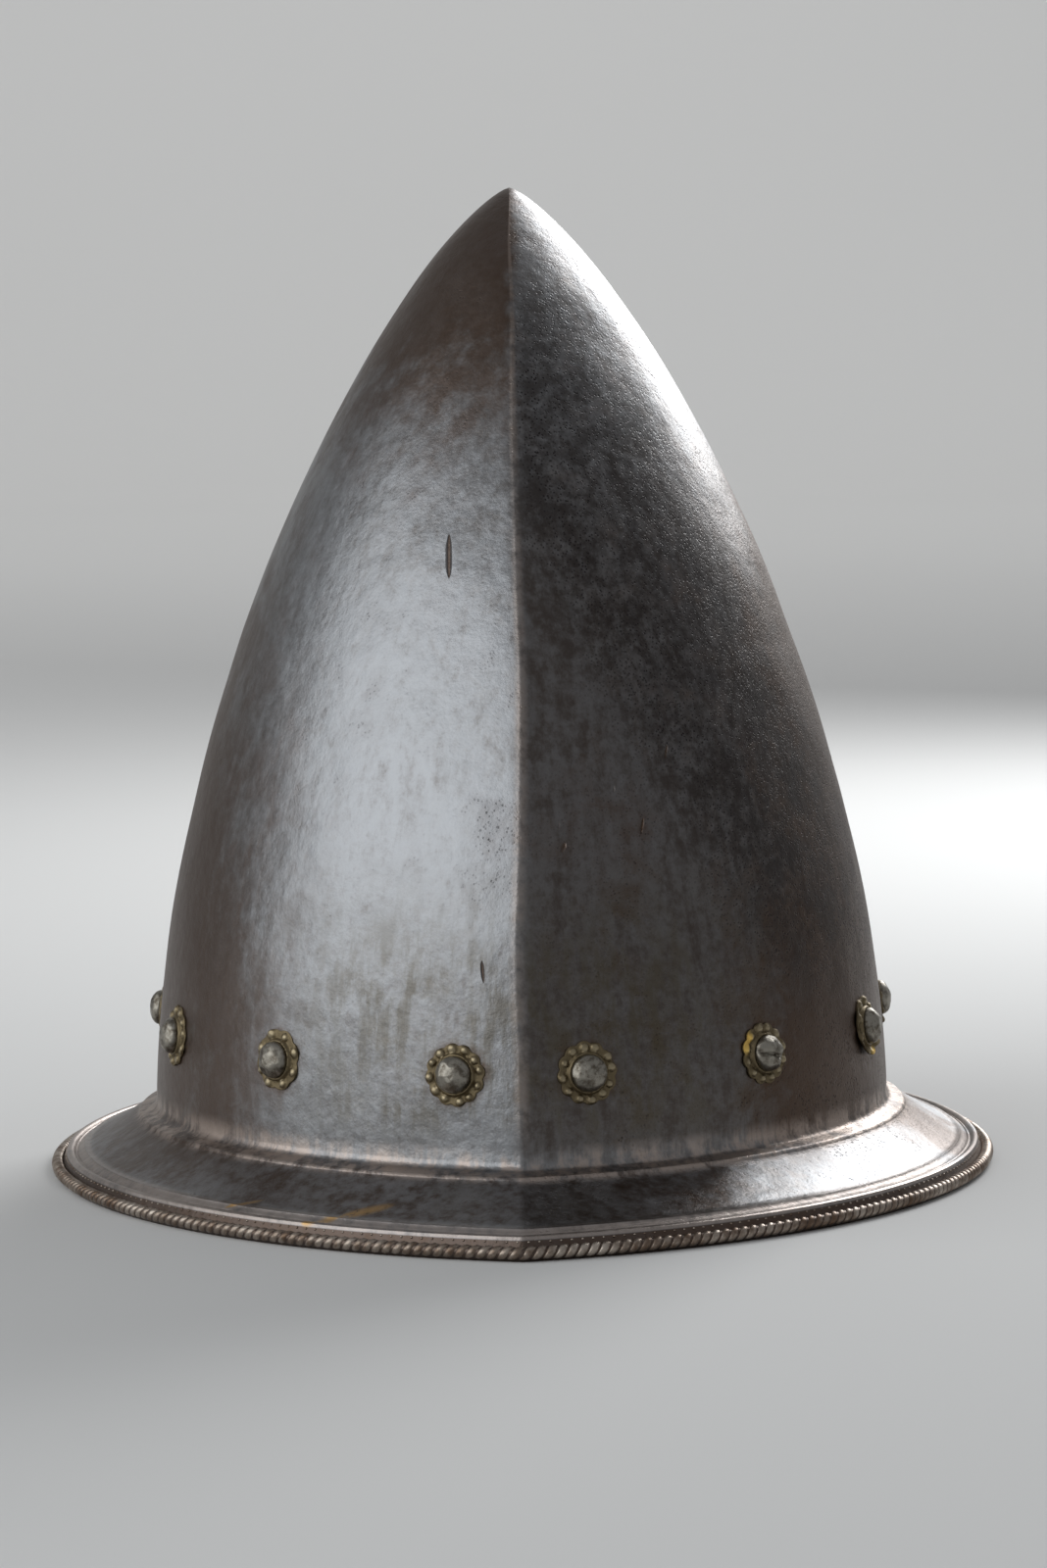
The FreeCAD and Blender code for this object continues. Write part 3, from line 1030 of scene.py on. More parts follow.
@dataclass
class Skull:
    """Bowl and brim, one sheet of steel, with the roll that its edge is turned into."""

    form: HelmetForm
    columns: int = 190
    keel_turn: float = 0.0045
    root_fillet: float = 2.4 * MM
    ledge_width: float = 4.4 * MM
    ledge_fall: float = 0.5 * MM
    ledge_drop: float = 1.1 * MM
    step_from_edge: float = 9.0 * MM
    step_height: float = 6.5 * MM
    bead_from_edge: float = 6.1 * MM
    bead_height: float = 5.2 * MM
    bead_rise: float = 0.5 * MM
    bead_width: float = 2.0 * MM
    brim_wall: float = 1.3 * MM
    core_radius: float = 1.4 * MM
    roll_height: float = 1.98 * MM
    flap: float = 2.6 * MM

    def dome(self) -> list[Section]:
        """Sections of the outside, from the top of the root fillet to just under the apex.

        Returns:
            The sections, lowest first.
        """
        shares = 1.0 - (1.0 - np.linspace(0.0, 1.0, 92)[:-1]) ** 1.35
        low = self.form.crease_height + self.root_fillet
        heights = low + (self.form.apex_height - low) * shares
        return [self.form.skull(height) for height in heights]

    def root(self) -> list[Section]:
        """Sections of the hollow fillet between the ledge and the skull.

        Returns:
            The sections.
        """
        form, r = self.form, self.root_fillet
        sections = []
        for turn in np.linspace(0.0, math.pi / 2, 5)[:-1]:
            height = form.crease_height + r * (1 - math.cos(turn))
            sections.append(form.from_crease(r * (1 - math.sin(turn)), height))
        return sections

    def brim(self) -> list[Section]:
        """Sections of the brim's upper face, from the roll in to the ledge.

        Returns:
            The sections, outermost first.
        """
        form = self.form
        crease = form.crease_height
        edge_on = form.from_edge
        bead = [edge_on(self.bead_from_edge - self.bead_width, self.bead_height - self.bead_rise)]
        for turn in np.linspace(0.0, math.pi, 6)[1:]:
            distance = self.bead_from_edge - self.bead_width / 2 * (1 + math.cos(turn))
            bead.append(edge_on(distance, self.bead_height + self.bead_rise * (1.6 * math.sin(turn) - 0.4)))
        line = self.bead_from_edge + 0.55 * MM
        rows = bead + [
            edge_on(line, self.bead_height + 0.10 * MM),
            edge_on(line + 0.25 * MM, self.bead_height - 0.15 * MM),
            edge_on(line + 0.5 * MM, self.bead_height + 0.15 * MM),
            edge_on(self.step_from_edge - 1.0 * MM, self.step_height - 0.65 * MM),
            edge_on(self.step_from_edge - 0.45 * MM, self.step_height - 0.30 * MM),
            edge_on(self.step_from_edge - 0.15 * MM, self.step_height + 0.06 * MM),
            edge_on(self.step_from_edge + 0.2 * MM, self.step_height + 0.10 * MM),
        ]
        foot_height = crease - self.ledge_fall - self.ledge_drop
        foot = form.from_crease(self.ledge_width + self.ledge_drop / 2, foot_height)
        step = edge_on(self.step_from_edge + 0.8 * MM, self.step_height)
        for share in np.linspace(0.0, 1.0, 11):
            rows.append(between(step, foot, share, -0.35 * MM * math.sin(math.pi * share)))
        for out, drop in ((0.35, 0.75), (0.0, 0.25), (-0.5, 0.02), (-1.2, -0.10)):
            height = crease - self.ledge_fall - self.ledge_drop * drop
            rows.append(form.from_crease(self.ledge_width + out * MM, height))
        return rows

    def roll(self) -> list[Section]:
        """Sections of the roll, from its flat under side over the outer edge to its inner top.

        Returns:
            The sections.
        """
        form, radius = self.form, self.form.roll_radius
        sections = [form.from_edge(radius + self.flap, 0.0), form.from_edge(radius, 0.0)]
        for angle in np.linspace(-72.0, 150.0, 11):
            turn = math.radians(angle)
            distance = self.roll_height - self.core_radius * math.cos(turn)
            sections.append(form.from_edge(distance, self.roll_height + self.core_radius * math.sin(turn)))
        return sections

    def under(self) -> list[Section]:
        """Sections of the under side, from the foot of the skull's inside out to the flap's end.

        Returns:
            The sections.
        """
        form = self.form
        crease = form.crease_height
        foot = crease - self.ledge_fall - self.ledge_drop - self.brim_wall
        end = form.roll_radius + self.flap
        return [
            form.from_crease(-form.wall / 2, crease - self.brim_wall),
            form.from_crease(self.ledge_width, foot),
            between(
                form.from_crease(self.ledge_width, foot),
                form.from_edge(self.step_from_edge, self.step_height - self.brim_wall),
                0.5,
                -0.2 * MM,
            ),
            form.from_edge(self.step_from_edge, self.step_height - self.brim_wall),
            form.from_edge(self.bead_from_edge, self.bead_height - self.brim_wall),
            form.from_edge(end - 0.9 * MM, 3.0 * MM),
            form.from_edge(end - 1.0 * MM, 1.0 * MM),
            form.from_edge(end, 0.9 * MM),
        ]

    def forged(self, points: np.ndarray) -> np.ndarray:
        """Moves points as hammer and age have: shallow lumps, and a keel that isn't quite straight.

        Args:
            points: places on the helmet.

        Returns:
            The moved places.
        """
        form = self.form
        x, y, z = points.T
        dome = smooth(z, 48 * MM, 70 * MM) * smooth(z, form.apex_height, form.apex_height - 25 * MM)
        low = smooth(z, 17 * MM, 26 * MM) * (1 - dome)
        lumps = Lumps(11).rough(points, 46 * MM, 3) * 0.42 * MM
        shift = lumps * (dome + 0.25 * low)
        reach = np.hypot(x, y) + 1e-6
        keel = np.exp(-((x / (24 * MM)) ** 2)) * (y < 0)
        sway = 1.0 * MM * np.exp(-(((z - 128 * MM) / (45 * MM)) ** 2))
        sway -= 0.8 * MM * np.exp(-(((z - 60 * MM) / (28 * MM)) ** 2))
        sway += 0.35 * MM * Lumps(12).at(np.stack([z, z * 0, z * 0], 1), 17 * MM)
        moved = points.copy()
        moved[:, 0] += x / reach * shift + sway * keel * smooth(z, 18 * MM, 40 * MM) * dome ** 0.2
        moved[:, 1] += y / reach * shift
        return moved

    def build(self, finish: bpy.types.Material) -> bpy.types.Object:
        """Builds the bowl.

        Args:
            finish: material of the steel.

        Returns:
            The object.
        """
        form = self.form
        turns = round_turns(self.columns, self.keel_turn)
        count = len(turns)
        outside = self.roll() + self.brim() + self.root() + self.dome()
        top_inside = form.apex_height - 2 * form.crown_wall
        heights = np.linspace(top_inside - 4 * MM, form.crease_height + self.root_fillet, 40)
        inside = [form.skull(h, form.wall_at(h)) for h in heights] + self.under()
        sketch = MeshSketch()
        outer_rows = [self.forged(section.points(turns)) for section in outside]
        inner_rows = [self.forged(section.points(turns)) for section in inside]
        outer = sketch.rings(outer_rows)
        apex = sketch.add([(0.0, form.apex_setback, form.apex_height)])
        sketch.fan(outer[-1], count, apex)
        inner_apex = sketch.add([(0.0, form.apex_setback, top_inside)])
        inner = sketch.rings(inner_rows)
        sketch.fan(inner[0], count, inner_apex, up=False)
        sketch.bridge(inner[-1], outer[0], count)
        piece = sketch.build("skull_bowl", finish)
        beside = np.full(count, 0.0)
        beside[[0, 1, count // 2 - 1, count // 2, count // 2 + 1, count - 1]] = 1.0
        keel = np.concatenate([np.tile(beside, len(outside)), [1.0], np.zeros(len(inside) * count + 1)])
        layer = piece.data.attributes.new("keel", "FLOAT", "POINT")
        layer.data.foreach_set("value", keel[:len(piece.data.vertices)].astype(np.float32))
        sharpen(piece, 40.0)
        return seat_on(piece, Slot.STEEL, "skull")


@dataclass
class RopedEdge:
    """Roping cut across the turned edge, and the row of punched dots along its inner side."""

    form: HelmetForm
    copies: Copies
    pitch: float = 2.65 * MM
    core_radius: float = 1.35 * MM
    roll_height: float = 1.98 * MM
    relief: float = 0.47 * MM
    lean: float = 3.0 * MM
    dot_from_edge: float = 4.0 * MM
    dot_height: float = 4.25 * MM
    dot_radius: float = 0.34 * MM

    def around(self, distance: float, height: float) -> tuple[np.ndarray, np.ndarray]:
        """Evenly spaced points round the rim, and the ways along it.

        Args:
            distance: how far in from the outer edge.
            height: height of the points.

        Returns:
            Points and unit vectors along the rim.
        """
        dense = self.form.from_edge(distance, height).points(np.linspace(-1.0, 3.0, 4001)[:-1])
        loop = np.vstack([dense, dense[:1]])
        steps = np.linalg.norm(np.diff(loop, axis=0), axis=1)
        length = np.concatenate([[0.0], np.cumsum(steps)])
        count = int(round(length[-1] / self.pitch))
        marks = (np.arange(count) + 0.5) * length[-1] / count
        points = np.stack([np.interp(marks, length, loop[:, axis]) for axis in range(3)], 1)
        ahead = np.roll(points, -1, axis=0) - np.roll(points, 1, axis=0)
        return points, ahead / np.linalg.norm(ahead, axis=1)[:, None]

    def strand(self) -> MeshSketch:
        """One strand of the rope, about the middle of the roll. X runs along the rim and Y inwards.

        Returns:
            The shape.
        """
        sketch = MeshSketch()
        half = self.pitch / 2
        turns = np.radians(np.linspace(-78.0, 152.0, 9))
        across = np.array([-0.98, -0.62, 0.0, 0.62, 0.98])
        rows = []
        for i, turn in enumerate(turns):
            share = i / (len(turns) - 1)
            taper = math.sin(math.pi * (0.06 + 0.88 * share)) ** 0.35
            shift = self.lean * (share - 0.5)
            crest = (1 - np.abs(across) ** 2.4) * taper
            top = self.core_radius - 0.25 * MM + (self.relief + 0.25 * MM) * crest
            base = np.full(2, self.core_radius - 0.3 * MM)
            radii = np.concatenate([top, base])
            places = np.concatenate([across * half, [half * 0.6, -half * 0.6]])
            row = np.stack([places + shift, -radii * math.cos(turn), radii * math.sin(turn)], 1)
            rows.append(row)
        starts = sketch.rings(rows)
        count = len(rows[0])
        first = sketch.add([rows[0].mean(0)])
        last = sketch.add([rows[-1].mean(0)])
        sketch.fan(starts[0], count, first, up=False)
        sketch.fan(starts[-1], count, last)
        return sketch

    def dot(self) -> MeshSketch:
        """One punched dot, a low dome.

        Returns:
            The shape.
        """
        sketch = MeshSketch()
        rows = []
        for turn in np.radians([-30.0, 5.0, 45.0]):
            angle = np.linspace(0.0, 2 * math.pi, 7)[:-1]
            r = self.dot_radius * math.cos(turn)
            level = np.full(6, self.dot_radius * math.sin(turn))
            rows.append(np.stack([r * np.cos(angle), r * np.sin(angle), level], 1))
        starts = sketch.rings(rows)
        sketch.fan(starts[0], 6, sketch.add([(0, 0, rows[0][0][2])]), up=False)
        sketch.fan(starts[-1], 6, sketch.add([(0, 0, self.dot_radius)]))
        return sketch

    def build(self, finish: bpy.types.Material) -> list[bpy.types.Object]:
        """Builds the rope and the dots.

        Args:
            finish: material of the worn steel.

        Returns:
            The rope and the dots.
        """
        points, along = self.around(self.roll_height, self.roll_height)
        up = np.tile([0.0, 0.0, 1.0], (len(points), 1))
        rope = self.copies.spread("roped_edge", points, up, along, self.strand(), finish, 0.0, 3)
        points, along = self.around(self.dot_from_edge, self.dot_height)
        up = np.tile([0.0, 0.0, 1.0], (len(points), 1))
        dots = self.copies.spread("edge_dots", points, up, along, self.dot(), finish, 0.12, 4)
        return [seat_on(rope, Slot.STEEL, "skull"), seat_on(dots, Slot.STEEL, "skull")]


# Rivets


@dataclass(frozen=True)
class Seat:
    """Where a lining rivet stands on the skull.

    Attributes:
        number: number of its CAD nodes.
        frame: turns and moves things from the rivet's own axes, Z outwards, to the helmet's.
    """

    number: int
    frame: Matrix

    def put(self, points: np.ndarray) -> np.ndarray:
        """Points of the rivet's own axes, in the helmet's."""
        turn = np.array(self.frame)[:3, :3]
        return np.asarray(points, float) @ turn.T + np.array(self.frame)[:3, 3]


@dataclass
class RivetRing:
    """Places of the lining rivets round the foot of the skull."""

    form: HelmetForm
    front_per_side: int = 4
    rear_per_side: int = 3
    keel_pair_angle: float = 18.4
    front_pitch: float = 29.4

    def angles(self) -> list[float]:
        """Angles of one side's rivets, front ones first, from -90 at the front keel."""
        front = [self.keel_pair_angle / 2 + self.front_pitch * i for i in range(self.front_per_side)]
        rear = np.linspace(front[-1], 180.0 - self.keel_pair_angle / 2, self.rear_per_side + 1)[1:]
        return [angle - 90.0 for angle in front + list(rear)]

    def seats(self) -> list[Seat]:
        """All the seats, in the order of the CAD nodes.

        Returns:
            The seats.
        """
        low = self.form.skull(self.form.band_bottom)
        high = self.form.skull(self.form.band_top)
        found = []
        for side in (1.0, -1.0):
            for angle in self.angles():
                turns = np.array([angle, angle + 0.1]) / 90.0
                a, b = low.points(turns)
                c = high.points(turns[:1])[0]
                outward = Vector(b - a).cross(Vector(c - a))
                outward.x *= side
                spot = Vector((a + c) / 2)
                spot.x *= side
                z_axis = outward.normalized()
                x_axis = Vector((0, 0, 1)).cross(z_axis).normalized()
                y_axis = z_axis.cross(x_axis)
                frame = Matrix((x_axis, y_axis, z_axis)).transposed().to_4x4()
                frame.translation = spot
                found.append(Seat(len(found) + 1, frame))
        return found


@dataclass(frozen=True)
class Wear:
    """How one rosette and its rivet have come down to us."""

    bosses: int = 12
    turned: float = 0.0
    lifted: float = 0.0
    bent: float = 0.25
    cracked: bool = False
    scraped: tuple[float, ...] = ()


@dataclass
class Rosette:
    """Thin brass washer, scalloped, with an embossed boss in each lobe and a raised collar."""

    radius: float = 7.7 * MM
    valley: float = 0.75 * MM
    sheet: float = 0.45 * MM
    collar_radius: float = 4.9 * MM
    collar_top: float = 1.3 * MM
    bore: float = 2.1 * MM
    boss_ring: float = 6.35 * MM
    boss_radius: float = 1.15 * MM
    boss_height: float = 0.80 * MM
    columns: int = 96

    def heights(
        self, r: np.ndarray, turn: np.ndarray, wear: Wear, seed: int
    ) -> tuple[np.ndarray, np.ndarray]:
        """Height of the upper face, and how far each point stands out of the sheet, from 0 to 1.

        Args:
            r: distances from the rivet's axis.
            turn: angles about it.
            wear: state of this rosette.
            seed: which random draw.

        Returns:
            Heights in metres, and shares from 0 to 1.
        """
        rng = np.random.default_rng(100 + seed)
        collar = smooth(r, self.collar_radius + 0.55 * MM, self.collar_radius - 0.15 * MM)
        lip = np.exp(-(((r - self.collar_radius) / (0.38 * MM)) ** 2)) * 0.16 * MM
        height = self.sheet + (self.collar_top - self.sheet) * collar + lip
        raised = 0.35 * collar
        for i in range(wear.bosses):
            angle = 2 * math.pi * (i + rng.uniform(-0.16, 0.16)) / wear.bosses + wear.turned
            ring = self.boss_ring + rng.uniform(-0.2, 0.2) * MM
            size = self.boss_radius * rng.uniform(0.78, 1.08) * (12 / wear.bosses) ** 0.25
            across = r * np.cos(turn) - ring * math.cos(angle)
            gap = np.hypot(across, r * np.sin(turn) - ring * math.sin(angle))
            dome = np.sqrt(np.clip(1.0 - (gap / size) ** 2, 0.0, 1.0))
            height = height + self.boss_height * rng.uniform(0.72, 1.05) * dome
            raised = np.maximum(raised, dome)
        edge = smooth(r, self.collar_radius + 0.4 * MM, self.radius)
        wave = Lumps(200 + seed).at(np.stack([np.cos(turn), np.sin(turn), turn * 0], 1), 0.55)
        height = height + edge * (wave * wear.bent * MM + wear.lifted * MM * (1 + np.sin(turn + seed)) / 2)
        return height, raised

    def build(self, seat: Seat, wear: Wear, finish: bpy.types.Material) -> bpy.types.Object:
        """Builds the rosette of one seat.

        Args:
            seat: where it stands.
            wear: its state.
            finish: material of the brass.

        Returns:
            The object.
        """
        rng = np.random.default_rng(300 + seat.number)
        turn = np.linspace(0.0, 2 * math.pi, self.columns + 1)[:-1]
        lobes = np.abs(np.sin((turn - wear.turned) * wear.bosses / 2 + math.pi / 2)) ** 0.8
        blank = Lumps(400 + seat.number).at(np.stack([np.cos(turn), np.sin(turn), turn * 0], 1), 0.7)
        rim = self.radius - self.valley * (1 - lobes) + blank * 0.22 * MM - 0.05 * MM
        shares = np.concatenate([np.linspace(0.0, 0.40, 4)[:-1], np.linspace(0.40, 1.0, 17)])
        sketch = MeshSketch()
        rows, under, raised = [], [], []
        for share in shares:
            r = self.bore + (rim - self.bore) * share
            height, out = self.heights(r, turn, wear, seat.number)
            round_off = 0.12 * MM if share == 1.0 else 0.0
            level = np.maximum(height - round_off, 0.2 * MM)
            rows.append(np.stack([r * np.cos(turn), r * np.sin(turn), level], 1))
            below = np.maximum(level - self.sheet, 0.03 * MM)
            if share < 0.5:
                below = np.full(len(turn), 0.03 * MM)
            under.append(np.stack([r * np.cos(turn), r * np.sin(turn), below], 1))
            raised.append(out)
        count = len(turn)
        top = sketch.rings([seat.put(row) for row in rows[::-1]])
        bottom = sketch.rings([seat.put(row) for row in (under[0], under[8], under[-3], under[-1])])
        sketch.bridge(top[-1], bottom[0], count)
        sketch.bridge(bottom[-1], top[0], count)
        piece = sketch.build("rosette_washer_%02d" % seat.number, finish)
        stand = np.concatenate(raised[::-1] + [np.zeros(count)] * 4)
        layer = piece.data.attributes.new("raised", "FLOAT", "POINT")
        layer.data.foreach_set("value", stand.astype(np.float32))
        shown = np.zeros(len(stand))
        for angle in wear.scraped:
            near = np.exp(-((np.angle(np.exp(1j * (turn - angle))) / 0.20) ** 2))
            for i, share in enumerate(shares[::-1]):
                shown[i * count:(i + 1) * count] += near * smooth(share, 0.70, 0.85)
        layer = piece.data.attributes.new("scraped", "FLOAT", "POINT")
        layer.data.foreach_set("value", np.clip(shown * 1.6, 0, 1).astype(np.float32))
        sharpen(piece, 50.0)
        return seat_on(piece, Slot.BRASS, "rosette_%02d" % seat.number)


@dataclass
class LiningRivet:
    """Domed rivet, hammered to shape, with its shank and the tail peened over the rove."""

    head_radius: float = 4.5 * MM
    head_height: float = 3.4 * MM
    head_edge: float = 0.45 * MM
    seat_height: float = 1.3 * MM
    shank_radius: float = 1.55 * MM
    tail_radius: float = 2.4 * MM
    tail_height: float = 1.2 * MM
    rove_inner: float = -4.4 * MM
    columns: int = 40

    def head(self, wear: Wear, seed: int) -> list[np.ndarray]:
        """Rows of the head, from its foot to just under its top, on the rivet's own axes.

        Args:
            wear: state of this rivet.
            seed: which random draw.

        Returns:
            The rows, lowest first.
        """
        rng = np.random.default_rng(500 + seed)
        turn = np.linspace(0.0, 2 * math.pi, self.columns + 1)[:-1]
        rows = []
        tilts = np.radians(np.linspace(0.0, 90.0, 15))[:-1]
        flats = []
        for i in range(10):
            angle = 2 * math.pi * (i * 0.382 + rng.uniform(-0.08, 0.08))
            tilt = math.radians(rng.uniform(22.0, 66.0))
            level = math.cos(tilt)
            flats.append((level * math.cos(angle), level * math.sin(angle), math.sin(tilt)))
        flats.append((0.05, -0.04, 1.0))
        for tilt in tilts:
            level = math.cos(tilt)
            height = np.full(len(turn), math.sin(tilt))
            unit = np.stack([level * np.cos(turn), level * np.sin(turn), height], 1)
            for flat in flats:
                normal = np.array(flat) / np.linalg.norm(flat)
                over = np.maximum(unit @ normal - 0.915, 0.0)
                unit = unit - over[:, None] * normal
            if wear.cracked:
                across = np.abs(unit[:, 1] + 0.35 * unit[:, 0] + 0.12)
                unit[:, 2] -= 0.22 * smooth(across, 0.16, 0.02) * smooth(unit[:, 0], 0.55, 0.2)
                unit[:, 2] += 0.10 * np.sin(4 * np.arctan2(unit[:, 1], unit[:, 0])) * math.cos(tilt)
            rows.append(unit * [self.head_radius, self.head_radius, self.head_height - self.head_edge])
        for row in rows:
            row[:, 2] = np.maximum(row[:, 2], 0.0) + self.seat_height + self.head_edge
        return rows

    def build(self, seat: Seat, wear: Wear, finish: bpy.types.Material) -> bpy.types.Object:
        """Builds the rivet of one seat.

        Args:
            seat: where it stands.
            wear: its state.
            finish: material of the rivets.

        Returns:
            The object.
        """
        turn = np.linspace(0.0, 2 * math.pi, self.columns + 1)[:-1]

        def ring(radius: float, height: float) -> np.ndarray:
            """A round row."""
            return np.stack([radius * np.cos(turn), radius * np.sin(turn), np.full(len(turn), height)], 1)

        end = self.rove_inner - self.tail_height
        rows = [
            ring(self.tail_radius * 0.55, end),
            ring(self.tail_radius * 0.88, end + 0.35 * MM),
            ring(self.tail_radius, self.rove_inner - 0.2 * MM),
            ring(self.tail_radius * 0.97, self.rove_inner),
            ring(self.shank_radius, self.rove_inner),
            ring(self.shank_radius, self.seat_height - 0.1 * MM),
            ring(self.head_radius * 0.9, self.seat_height),
            ring(self.head_radius * 0.985, self.seat_height + 0.15 * MM),
        ]
        rows += self.head(wear, seat.number)
        sketch = MeshSketch()
        placed = [seat.put(row) for row in rows]
        starts = sketch.rings(placed)
        top = self.seat_height + self.head_height - 0.16 * MM
        sketch.fan(starts[0], len(turn), sketch.add(seat.put([(0, 0, end)])), up=False)
        sketch.fan(starts[-1], len(turn), sketch.add(seat.put([(0, 0, top)])))
        piece = sketch.build("rivet_%02d" % seat.number, finish)
        sharpen(piece, 34.0)
        return seat_on(piece, Slot.RIVET, "lining_rivet_%02d" % seat.number)


@dataclass
class Rove:
    """Small washer inside, cut from sheet, that the tail is peened over."""

    radius: float = 4.5 * MM
    bore: float = 1.75 * MM
    outer: float = -3.5 * MM
    inner: float = -4.4 * MM
    columns: int = 32

    def build(self, seat: Seat, finish: bpy.types.Material) -> bpy.types.Object:
        """Builds the rove of one seat.

        Args:
            seat: where it stands.
            finish: material of the rivets.

        Returns:
            The object.
        """
        rng = np.random.default_rng(600 + seat.number)
        turn = np.linspace(0.0, 2 * math.pi, self.columns + 1)[:-1]
        uneven = 1.0 + 0.02 * np.sin(turn * 3 + rng.uniform(0, 6)) - 0.02
        rows = []
        profile = [
            (self.bore, self.outer),
            (self.radius * 0.96, self.outer),
            (self.radius, self.outer - 0.15 * MM),
            (self.radius, self.inner + 0.25 * MM),
            (self.radius * 0.95, self.inner + 0.05 * MM),
            (self.radius * 0.6, self.inner),
            (self.bore, self.inner),
        ]
        for radius, height in profile:
            r = radius * np.where(radius > self.bore, uneven, 1.0)
            rows.append(np.stack([r * np.cos(turn), r * np.sin(turn), np.full(len(turn), height)], 1))
        sketch = MeshSketch()
        starts = sketch.rings([seat.put(row) for row in rows[::-1]])
        sketch.bridge(starts[-1], starts[0], len(turn))
        piece = sketch.build("rove_%02d" % seat.number, finish)
        sharpen(piece, 50.0)
        return seat_on(piece, Slot.RIVET, "rivet_rove_%02d" % seat.number)


# Leather band and lining


@dataclass
class LeatherBand:
    """Strip of leather that the rivets clamp inside the foot of the skull."""

    form: HelmetForm
    gap: float = 0.3 * MM
    thickness: float = 1.6 * MM
    columns: int = 150

    def build(self, finish: bpy.types.Material) -> bpy.types.Object:
        """Builds the band.

        Args:
            finish: material of the leather.

        Returns:
            The object.
        """
        form = self.form
        turns = round_turns(self.columns, 0.01)
        low, high = form.band_bottom, form.band_top
        outer = form.wall + self.gap
        inner = outer + self.thickness
        soft = 0.45 * MM
        profile = [
            (low + soft, outer), (high - soft, outer), (high, outer + soft), (high, inner - soft),
            (high - soft, inner), (low + (high - low) * 0.75, inner), (low + (high - low) * 0.5, inner),
            (low + (high - low) * 0.25, inner), (low + soft, inner), (low, inner - soft), (low, outer + soft),
        ]
        rows = []
        for height, inset in profile:
            row = form.skull(height, inset).points(turns)
            wave = Lumps(21).rough(row, 22 * MM, 2)
            limp = smooth(abs(height - (low + high) / 2), 4 * MM, 9 * MM)
            slack = 0.22 * MM * wave * limp
            if inset > form.wall + self.gap + soft:
                row[:, :2] *= (1 - np.abs(slack) / 0.1)[:, None]
            row[:, 2] += 0.5 * MM * wave * limp * np.sign(height - (low + high) / 2) * (inset > outer)
            rows.append(row)
        sketch = MeshSketch()
        starts = sketch.rings(rows)
        sketch.bridge(starts[-1], starts[0], len(turns))
        piece = sketch.build("leather_band", finish)
        return seat_on(piece, Slot.LEATHER, "lining_band")


